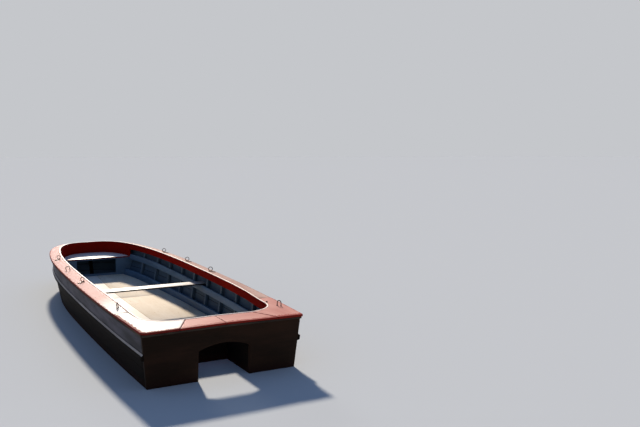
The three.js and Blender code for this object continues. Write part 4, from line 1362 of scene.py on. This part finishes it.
@dataclass
class Coaming:
    """Board on edge under the deck's inner edge, down to the foredeck round the bow.

    Attributes:
        thickness: Thickness of the board.
        arris: Radius of its arrises.
        lip: How far it stands over the deck.
        depth: Its height.
        below_foredeck: How far it reaches under the foredeck's top at the bow.
        foredeck_top, foredeck_start, foredeck_slope: Height of the foredeck's aft edge, its
            station, and what the foredeck rises for each metre forward.
        bulkhead: Station of the bulkhead, where the bow piece begins.
        stern_line: Station of the deck's inner edge at the stern.
        corner: Radius of that edge's corners.
        gap: Clearance between the board and the deck.
        seam: Width of a seam between boards.
        stern_points, corner_points: Number of points across half the stern and round a corner.
    """

    thickness: float = 0.018
    arris: float = 0.004
    lip: float = 0.002
    depth: float = 0.095
    below_foredeck: float = 0.012
    foredeck_top: float = 0.49
    foredeck_start: float = 5.6723
    foredeck_slope: float = 0.055
    bulkhead: float = 5.65
    stern_line: float = 0.298
    corner: float = 0.34
    gap: float = 0.0003
    seam: float = 0.0025
    stern_points: int = 12
    corner_points: int = 24

    def inner_line(self) -> np.ndarray:
        """The deck's inner edge: half the stern, a quarter circle, then the side and the bow.

        Returns:
            (points, 2) stations and half widths.
        """
        inside = LINES.inset_plan(LINES.deck_width, LINES.bow_deck_width)
        end = self.stern_line + self.corner
        centre = float(LINES.half_width(inside, end)) - self.corner
        stern = np.linspace(0, centre, self.stern_points)[:-1]
        straight = np.stack([np.full_like(stern, self.stern_line), stern], -1)
        angle = np.linspace(0, math.pi / 2, self.corner_points)[:-1]
        arc = np.stack([end - self.corner * np.cos(angle), centre + self.corner * np.sin(angle)], -1)
        return np.concatenate([straight, arc, LINES.line(inside, end, 0.0)])

    def top(self, line: np.ndarray) -> np.ndarray:
        """Height of the coaming's top: the higher deck board and a lip.

        Args:
            line: (points, 2) stations and half widths along the inner edge.

        Returns:
            One height for each point.
        """
        side = LINES.deck_edge(line[:, 0]) + LINES.deck_rise(line[:, 0])
        quarter = LINES.quarter_top(line[:, 0], line[:, 1])
        return np.where(line[:, 0] > LINES.quarter_end, side, np.maximum(side, quarter)) + self.lip

    def strip(self, part: str, line: np.ndarray, sign: float, bottom: np.ndarray) -> bpy.types.Object:
        """Carries the board's section along a line.

        Args:
            part: Which part of the coaming.
            line: (points, 2) stations and half widths along the inner edge.
            sign: 1 as the line is, -1 for its mirror image.
            bottom: Height of the board's foot at each point.

        Returns:
            The new object.
        """
        outer = LINES.moved(line, -self.gap)
        inner = LINES.moved(line, -self.gap - self.thickness)
        top, foot = self.top(line)[:, None], bottom[:, None]
        corners = [(outer, top), (inner, top), (inner, foot), (outer, foot)]
        # The pale finish on the top and its arrises is partly a painted highlight
        dress = Dress(Finish.COAMING, Finish.COAMING_TOP, (0,), True)
        return swept_between(f"coaming_{part}_board", corners, sign, self.arris, dress, f"coaming_{part}")

    def build(self) -> list[bpy.types.Object]:
        """Builds the stern piece, the two sides and the bow piece.

        Returns:
            The pieces.
        """
        line = self.inner_line()
        rising = line[line[:, 0] > self.stern_line + self.gap]
        corner_end = self.stern_line + self.corner
        cuts = (corner_end, corner_end + self.seam, self.bulkhead - self.gap, self.bulkhead)
        end, start, joint, bow_start = (
            np.array([[station, np.interp(station, rising[:, 0], rising[:, 1])]]) for station in cuts)
        side = rising[(rising[:, 0] > start[0, 0]) & (rising[:, 0] < joint[0, 0])]
        side = np.concatenate([start, side, joint])
        bow = np.concatenate([bow_start, rising[rising[:, 0] > self.bulkhead]])
        bow = np.concatenate([bow, bow[:-1][::-1] * (1, -1)])
        stern = np.concatenate([line[line[:, 0] <= corner_end - self.gap], end])
        stern = np.concatenate([stern[::-1] * (1, -1), stern[1:]])
        foredeck = self.foredeck_top + self.foredeck_slope * (bow[:, 0] - self.foredeck_start)
        return [*(self.strip(name, side, sign, self.top(side) - self.depth) for name, sign in SIDES.items()),
                self.strip("bow", bow, 1.0, foredeck - self.below_foredeck),
                self.strip("stern", stern, 1.0, self.top(stern) - self.depth)]


@dataclass
class BoardsFromNodes:
    """Boards that keep their CAD shape and get rounded arrises.

    Attributes:
        nodes: The CAD nodes by name.
        table: How each is rounded and dressed, by the first row that fits its name.
    """

    nodes: dict[str, bpy.types.Object]
    table: tuple[Softening, ...] = (
        # The transom moulding's dark finish is partly painted shade under the deck's edge
        Softening("transom_moulding", Finish.MOULDING, Grain.ACROSS, 0.006),
        Softening("transom", Finish.TRANSOM, Grain.ACROSS, 0.004, grid=0.04, band=0.03,
                  other=Finish.INSIDE, facing=(1, 0, 0)),
        Softening("stem", Finish.HULL, Grain.UPRIGHT, 0.004),
        Softening("bottom_planking", Finish.BOTTOM, Grain.ALONG, 0.003),
        Softening("quarter_deck_port", Finish.DECK_BLEACHED, Grain.ALONG, 0.006, grid=0.018, band=0.06,
                  outboard=True),
        Softening("quarter_deck", Finish.DECK, Grain.ALONG, 0.006, grid=0.018, band=0.03),
        Softening("stern_deck", Finish.DECK, Grain.ACROSS, 0.006, grid=0.018, band=0.03),
        Softening("frame_", Finish.RIB, Grain.UPRIGHT, 0.003),
        Softening("stringer", Finish.STRINGER, Grain.ALONG, 0.004),
        Softening("bilge_board", Finish.STRINGER, Grain.ALONG, 0.004),
        *(Softening(f"floor_panel_{i}_port", Finish.FLOOR_FRESH, Grain.ALONG, 0.002) for i in (1, 2, 3)),
        Softening("floor_panel", Finish.FLOOR, Grain.ALONG, 0.002),
        Softening("well_side", Finish.HULL, Grain.ALONG, 0.003, other=Finish.INSIDE, facing=(0, 1, 0)),
        Softening("motor_board", Finish.HULL, Grain.ACROSS, 0.004, other=Finish.INSIDE, facing=(1, 0, 0)),
        Softening("thwart", Finish.THWART, Grain.ACROSS, 0.005),
        Softening("foredeck_nosing", Finish.COAMING, Grain.ACROSS, 0.005),
        Softening("foredeck", Finish.FOREDECK, Grain.ACROSS, 0.003),
        Softening("bulkhead", Finish.STRINGER, Grain.ACROSS, 0.003),
    )

    def build(self) -> list[bpy.types.Object]:
        """Builds a rounded copy of each node that has a row in the table.

        Returns:
            The pieces.
        """
        rows = {name: next((row for row in self.table if name.startswith(row.start)), None)
                for name in sorted(self.nodes)}
        return [row.make(self.nodes[name]) for name, row in rows.items() if row]


def lathe(profile: Profile, sides: int) -> np.ndarray:
    """Turns a profile round the upright axis.

    Args:
        profile: Radius and height of each ring.
        sides: Points round a ring.

    Returns:
        The rings as (rings, sides, 3).
    """
    radius, height = np.array(profile).T
    angle = np.linspace(0, 2 * math.pi, sides, endpoint=False)
    return np.stack([radius[:, None] * np.cos(angle), radius[:, None] * np.sin(angle),
                     np.repeat(height[:, None], sides, axis=1)], -1)


def rod(path: np.ndarray, radius: float, looped: bool = False) -> np.ndarray:
    """Carries a round section along a path that lies in the x and z plane.

    Each ring is p + r (cos a · n + sin a · y), with n square to the path in its plane.

    Args:
        path: Points as (points, 3).
        radius: Radius of the rod.
        looped: Whether the path's last point joins its first.

    Returns:
        The rings as (points, sides, 3).
    """
    if looped:
        along = np.roll(path, -1, axis=0) - np.roll(path, 1, axis=0)
    else:
        along = np.gradient(path, axis=0)
    along /= np.linalg.norm(along, axis=1, keepdims=True)
    across = np.stack([-along[:, 2], np.zeros(len(path)), along[:, 0]], -1)
    angle = np.linspace(0, 2 * math.pi, ROUND_SIDES, endpoint=False)[None, :, None]
    return path[:, None] + radius * (np.cos(angle) * across[:, None] + np.sin(angle) * np.array([0, 1.0, 0]))


def turn_about(axis: int, angle: float) -> np.ndarray:
    """The matrix of a turn about one axis, counter-clockwise as seen from its tip.

    Args:
        axis: 0, 1 or 2 for x, y or z.
        angle: The turn in radians.

    Returns:
        A (3, 3) matrix.
    """
    one, two = (axis + 1) % 3, (axis + 2) % 3
    turn = np.eye(3)
    turn[one, one] = turn[two, two] = math.cos(angle)
    turn[two, one] = math.sin(angle)
    turn[one, two] = -math.sin(angle)
    return turn


def placed(points: np.ndarray, places: np.ndarray, normals: np.ndarray) -> np.ndarray:
    """Copies of a small form, each stood on its place with its z along the normal.

    The form's x and y axes become any two directions square to the normal.

    Args:
        points: Points of the form as (points, 3).
        places: Feet of the copies as (copies, 3).
        normals: Their unit normals as (copies, 3).

    Returns:
        The points as (copies, points, 3).
    """
    flat = np.cross(normals, np.roll(normals, 1, axis=1) + 0.3)
    flat /= np.linalg.norm(flat, axis=1, keepdims=True)
    axes = np.stack([flat, np.cross(normals, flat), normals], axis=1)
    return places[:, None] + np.einsum("pk,ckj->cpj", points, axes)


# Radius and height of the rings of the round heads, from under the board up
SCREW_HEAD = ((0.0042, -0.001), (0.0042, 0.0004), (0.0033, 0.0012), (0.0012, 0.0016))
BOLT_HEAD = ((0.0095, -0.001), (0.0095, 0.006), (0.0075, 0.01), (0.0035, 0.012))
# Points round a rod or a head, a hoop's foot, a hoop's arch, a ring and a plate
ROUND_SIDES = 12
FOOT_SIDES = 20
ARCH_POINTS = 25
RING_POINTS = 40
PLATE_POINTS = 24
# Turn of a plate's points that keeps them off its axes, in radians
OFF_AXIS = 1e-3


@dataclass(frozen=True)
class Fitting:
    """One hoop or ring on the deck.

    Attributes:
        node: Its CAD node.
        station: Distance forward of the stern deck's aft edge.
        inset: Distance in from the deck's edge.
        side: 1 to port, -1 to starboard.
        lift: Height of its foot over the deck.
        turn: How far it is turned about the upright axis, in degrees.
    """

    node: str
    station: float
    inset: float
    side: int
    lift: float
    turn: float


@dataclass
class DeckFittings:
    """Rod hoops and ring plates on the side decks, as round bars with feet and screws.

    Attributes:
        hoops: The hoops.
        rings: The rings on plates.
        rod: Diameter of the hoops' rod.
        width: Width of a hoop.
        height: Height of a hoop.
        foot: Diameter of a hoop's round foot.
        foot_thickness: Thickness of that foot.
        foot_form: Share of the foot's radius and of its thickness at each of its rings.
        ring_rod: Diameter of the rings' rod.
        ring_outer: Outer diameter of a ring.
        plate: Length, width and thickness of a ring's foot plate.
        plate_corner: Radius of its corners, seen from above.
        plate_arris: Size of its upper arris.
        screws: Places of its two screws along it.
        sunk: How far a ring is sunk into its plate.
    """

    hoops: tuple[Fitting, ...] = (
        Fitting("hoop_starboard_quarter", 0.43, 0.08, -1, 0.0008, 29),
        Fitting("hoop_port_quarter", 1.04, 0.1, 1, 0.0016, -29),
        Fitting("hoop_port_forward", 3.48, 0.08, 1, 0.0006, 90),
    )
    rings: tuple[Fitting, ...] = (
        Fitting("ring_starboard_aft", 2.58, 0.095, -1, 0.0006, -119),
        Fitting("ring_starboard_middle", 3.5, 0.095, -1, 0.0006, -119),
        Fitting("ring_starboard_forward", 4.48, 0.095, -1, 0.0006, -119),
        Fitting("ring_port_aft", 2.58, 0.095, 1, 0.0006, 119),
        Fitting("ring_port_forward", 4.48, 0.095, 1, 0.0006, 119),
    )
    rod: float = 0.009
    width: float = 0.057
    height: float = 0.06
    foot: float = 0.016
    foot_thickness: float = 0.004
    foot_form: Profile = ((1.0, 0.0), (1.0, 0.6), (0.8, 1.0), (0.4, 1.0))
    ring_rod: float = 0.008
    ring_outer: float = 0.058
    plate: tuple[float, float, float] = (0.085, 0.028, 0.006)
    plate_corner: float = 0.005
    plate_arris: float = 0.0015
    screws: tuple[float, float] = (0.022, 0.056)
    sunk: float = 0.002

    def hoop_skins(self) -> list[Skin]:
        """A rod bent up, over in a half circle and down again, on two washers.

        Returns:
            The skins of one hoop, stood on the origin.
        """
        radius = (self.width - self.rod) / 2
        straight = self.height - self.rod / 2 - radius
        angle = np.linspace(math.pi, 0, ARCH_POINTS)
        arch = np.stack([radius * np.cos(angle), 0 * angle, straight + radius * np.sin(angle)], -1)
        up = np.array([[-radius, 0, 0], [-radius, 0, straight / 2]])
        path = np.concatenate([up, arch, up[::-1] * (-1, 1, 1)])
        form = [(self.foot / 2 * out, self.foot_thickness * high) for out, high in self.foot_form]
        feet = [lathe(form, FOOT_SIDES) + np.array([x, 0, 0]) for x in (-radius, radius)]
        return [skin(rings) for rings in (rod(path, self.rod / 2), *feet)]

    def ring_skins(self) -> list[Skin]:
        """A standing ring on the inner end of a flat plate that two screws hold.

        Returns:
            The skins of one ring and its plate, stood on the origin.
        """
        middle = (self.ring_outer - self.ring_rod) / 2
        length, width, thick = self.plate
        centre = self.ring_outer / 2 + thick - self.sunk
        angle = np.linspace(0, 2 * math.pi, RING_POINTS, endpoint=False)
        path = np.stack([middle * np.cos(angle), 0 * angle, centre + middle * np.sin(angle)], -1)
        turn = np.linspace(0, 2 * math.pi, PLATE_POINTS, endpoint=False) + OFF_AXIS
        round_corner = np.stack([np.cos(turn), np.sin(turn)], -1)
        spread = np.sign(round_corner) * (np.array([length, width]) / 2 - self.plate_corner)
        arris = self.plate_arris
        levels = [np.column_stack([spread + round_corner * (self.plate_corner - inset),
                                   np.full(len(turn), height)])
                  for inset, height in ((0.0, 0.0), (0.0, thick - arris), (arris, thick))]
        plate = np.stack(levels) + np.array([length / 2 - self.ring_outer / 4, 0, 0])
        screws = [lathe(SCREW_HEAD, ROUND_SIDES) + np.array([x, 0, thick]) for x in self.screws]
        return [skin(rod(path, self.ring_rod / 2, True), True),
                *(skin(rings) for rings in (plate, *screws))]

    def stood(self, points: np.ndarray, fitting: Fitting) -> np.ndarray:
        """Stands a form on the deck, turned, then tilted along and across with the deck's slopes.

        Args:
            points: Points of the form as (points, 3).
            fitting: Where it stands.

        Returns:
            The points in the boat's frame.
        """
        station, inset, side = fitting.station, fitting.inset, fitting.side
        half = float(LINES.half_width(LINES.inset_plan(0, 0), station)) - inset
        reach = self.width / 2
        aft, here, ahead = (float(deck_top(s, inset)) for s in (station - reach, station, station + reach))
        across = turn_about(0, -side * math.atan2(float(LINES.deck_rise(station)), LINES.deck_width))
        along = turn_about(1, -math.atan2(ahead - aft, self.width))
        place = np.array([station - LINES.length / 2, side * half, here + fitting.lift])
        return points @ (across @ along @ turn_about(2, math.radians(fitting.turn))).T + place

    def build(self) -> list[bpy.types.Object]:
        """Builds every hoop and ring plate.

        Returns:
            The pieces.
        """
        pieces = []
        for fittings, skins in ((self.hoops, self.hoop_skins()), (self.rings, self.ring_skins())):
            for fitting in fittings:
                stood = [(self.stood(points, fitting), faces) for points, faces in skins]
                pieces.append(joined_piece(f"{fitting.node}_steel", stood, Finish.STEEL, (fitting.node,)))
        return pieces


def deck_top(station: float, inset: float) -> float:
    """Height of the deck's top.

    Args:
        station: Distance forward of the stern deck's aft edge.
        inset: Distance in from the deck's edge.

    Returns:
        The height over the flat bottom.
    """
    if station < LINES.quarter_end:
        half = LINES.half_width(LINES.inset_plan(0, 0), station) - inset
        return LINES.quarter_top(station, half)
    return LINES.deck_edge(station) + LINES.deck_rise(station) * inset / LINES.deck_width


@dataclass
class Fastenings:
    """Screw heads in the decks and the planks, in rows over the frames.

    Attributes:
        deck_insets: Distances in from the deck's edge.
        plank_heights: Heights over the flat bottom, as shares of the way to the deck's edge.
        step: Distance over which the plank's slope is measured.
        bolt: Station, inset and side of the one big bolt on the stern.
    """

    deck_insets: tuple[float, ...] = (0.035, 0.075, 0.12)
    plank_heights: tuple[float, ...] = (0.1, 0.22, 0.33, 0.45, 0.56, 0.86)
    step: float = 0.01
    bolt: tuple[float, float, float] = (0.645, 0.132, -1.0)

    def heads(self, name: str, feet: Feet, finish: Finish,
              profile: Profile = SCREW_HEAD) -> bpy.types.Object:
        """Makes one piece of round heads.

        Args:
            name: Name of the piece.
            feet: Foot and unit normal of each head.
            finish: Its finish.
            profile: The heads' profile.

        Returns:
            The new object.
        """
        points, faces = skin(lathe(profile, ROUND_SIDES))
        places, normals = (np.array(column) for column in zip(*feet))
        return joined_piece(name, [(copy, faces) for copy in placed(points, places, normals)], finish, ())

    def deck_feet(self, station: float, sign: float) -> Feet:
        """Places of the deck's screws over one frame, on one side.

        Args:
            station: The frame's station.
            sign: 1 to port, -1 to starboard.

        Returns:
            Foot and unit normal of each.
        """
        half = float(LINES.half_width(LINES.inset_plan(0, 0), station))
        slope = float(LINES.deck_rise(station)) / LINES.deck_width
        edge = float(LINES.deck_edge(station))
        normal = np.array([0, sign * slope, 1.0]) / math.hypot(slope, 1)
        return [([station - LINES.length / 2, sign * (half - inset), edge + slope * inset], normal)
                for inset in self.deck_insets]

    def plank_feet(self, station: float, sign: float) -> Feet:
        """Places of the planks' screws over one frame, on one side.

        Args:
            station: The frame's station.
            sign: 1 to port, -1 to starboard.

        Returns:
            Foot and unit normal of each.
        """
        low, edge = float(LINES.bottom(station)), float(LINES.deck_edge(station))
        feet = []
        for share in self.plank_heights:
            z = low + (edge - low) * share
            here, ahead, over = (LINES.side_half(s, h) for s, h in (
                (station, z), (station + self.step, z), (station, z + self.step)))
            normal = np.array([here - ahead, sign * self.step, here - over])
            feet.append(([station - LINES.length / 2, sign * here, z], normal / np.linalg.norm(normal)))
        return feet

    def build(self) -> list[bpy.types.Object]:
        """Builds the heads on both decks and both sides of the hull, and the stern bolt.

        Returns:
            The pieces.
        """
        deck, planks = [], []
        for station in LINES.first_frame + LINES.frame_spacing * np.arange(LINES.frames):
            for sign in SIDES.values():
                deck += self.deck_feet(station, sign)
                planks += self.plank_feet(station, sign)
        station, inset, side = self.bolt
        half = float(LINES.half_width(LINES.inset_plan(0, 0), station)) - inset
        place = [station - LINES.length / 2, side * half, float(deck_top(station, inset))]
        return [self.heads("deck_screws", deck, Finish.STEEL),
                self.heads("plank_screws", planks, Finish.HULL),
                self.heads("stern_bolt", [(place, [0.0, 0.0, 1.0])], Finish.IRON, BOLT_HEAD)]


@dataclass(frozen=True)
class Lamp:
    """A far lamp.

    Attributes:
        name: Its name.
        azimuth: Its direction to port of the bow, in degrees.
        elevation: Its height over the horizon, in degrees.
        power: Its strength in watts for each square metre.
        width: Its width as seen from the boat, in degrees.
        colour: Its colour.
    """

    name: str
    azimuth: float
    elevation: float
    power: float
    width: float
    colour: str

    def build(self) -> None:
        """Adds the lamp, which shines from its direction towards the boat."""
        lamp = bpy.data.lights.new(self.name, "SUN")
        lamp.energy = self.power
        lamp.angle = math.radians(self.width)
        lamp.color = linear(self.colour)[:3]
        azimuth, elevation = math.radians(self.azimuth), math.radians(self.elevation)
        level = math.cos(elevation)
        towards = Vector((math.cos(azimuth) * level, math.sin(azimuth) * level, math.sin(elevation)))
        holder = bpy.data.objects.new(self.name, lamp)
        holder.rotation_euler = towards.to_track_quat("Z", "Y").to_euler()
        bpy.context.scene.collection.objects.link(holder)


@dataclass
class Studio:
    """Pale floor at the waterline, a soft key lamp and a low sheet of light ahead, sky and camera.

    Attributes:
        waterline: Height of the floor.
        floor_colour: Colour of the floor.
        floor_half: Half the floor's width.
        floor_rough: Roughness of the floor.
        lamps: The key lamp, and a wide white one low ahead that lights the level faces.
        sky_above: Colour of the sky overhead.
        sky_low: Its colour along the horizon.
        sky_between: Upward part of the view where the first colour is full, and the second.
        eye: The camera's place.
        heading: The way it looks, seen from above.
        pitch: How far it looks down, in degrees.
        lens: Focal length in millimetres.
        sensor: Width of its sensor in millimetres.
    """

    waterline: float = 0.07
    floor_colour: str = "bdc2c6"
    floor_half: float = 400.0
    floor_rough: float = 0.95
    lamps: tuple[Lamp, ...] = (
        Lamp("key", -10.8, 30.5, 5.6, 4.0, "fff1de"),
        Lamp("low_sheet", -9.0, 15.0, 0.5, 14.0, "ffffff"),
    )
    sky_above: str = "58739c"
    sky_low: str = "c5c7cb"
    sky_between: tuple[float, float] = (0.5, 0.2)
    eye: tuple[float, float, float] = (-9.296, 2.42, 2.17)
    heading: tuple[float, float] = (0.8748, -0.4845)
    pitch: float = 4.76
    lens: float = 40.5
    sensor: float = 36.0

    def build(self) -> None:
        """Builds floor, lights, world and camera."""
        self.build_floor()
        for lamp in self.lamps:
            lamp.build()
        self.build_sky()
        self.build_camera()

    def build_floor(self) -> None:
        """Lays a wide matt floor at the waterline."""
        corners = np.array([[-1, -1], [1, -1], [1, 1], [-1, 1]]) * self.floor_half
        points = np.concatenate([corners, np.full((len(corners), 1), self.waterline)], -1)
        mesh = bpy.data.meshes.new("studio_floor")
        mesh.from_pydata(points.tolist(), [], [[0, 1, 2, 3]])
        floor = bpy.data.objects.new("studio_floor", mesh)
        bpy.context.scene.collection.objects.link(floor)
        material = new_material("matt studio floor")
        tree = material.node_tree
        plug(tree, tree.nodes[SHADER], {"Base Color": linear(self.floor_colour),
                                        "Roughness": self.floor_rough, "Specular IOR Level": 0.0})
        mesh.materials.append(material)

    def build_sky(self) -> None:
        """Makes a dim blue sky that is pale along the horizon, the same all round."""
        world = bpy.context.scene.world or bpy.data.worlds.new("studio")
        bpy.context.scene.world = world
        world.use_nodes = True
        tree = world.node_tree
        way = add_node(tree, COORDINATES, {}, out="Generated")
        height = add_node(tree, SPLIT_VECTOR, {0: way}, out="Z")
        low = add_node(tree, RANGE, between(height, self.sky_between), **SMOOTH)
        colour = add_node(tree, MIX, {SHARE: low, FIRST: linear(self.sky_above),
                                      SECOND: linear(self.sky_low)}, **COLOURS)
        plug(tree, tree.nodes["Background"], {"Color": colour, "Strength": 1.0})

    def build_camera(self) -> None:
        """Sets the camera at the photograph's viewing angle."""
        lens = bpy.data.cameras.new("photo_view")
        lens.lens = self.lens
        lens.sensor_width = self.sensor
        lens.sensor_fit = "HORIZONTAL"
        camera = bpy.data.objects.new("photo_view", lens)
        bpy.context.scene.collection.objects.link(camera)
        pitch = math.radians(self.pitch)
        forward = Vector((*(part * math.cos(pitch) for part in self.heading), -math.sin(pitch)))
        camera.location = self.eye
        camera.rotation_euler = forward.to_track_quat("-Z", "Y").to_euler()
        bpy.context.scene.camera = camera
        bpy.context.scene.view_settings.view_transform = "Standard"


def main() -> None:
    """Builds the boat's pieces in order."""
    logging.basicConfig(level=logging.INFO, format="%(name)s %(message)s")
    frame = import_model()
    nodes = frame["nodes"]
    for assembly in (HullSides(), Deck(), Coaming(), BoardsFromNodes(nodes), DeckFittings(), Fastenings()):
        for piece in assembly.build():
            LOG.info("%s: %s, %d faces", type(assembly).__name__, piece.name, len(piece.data.polygons))
    Studio().build()
    bpy.context.view_layer.update()


if __name__ == "__main__":
    main()
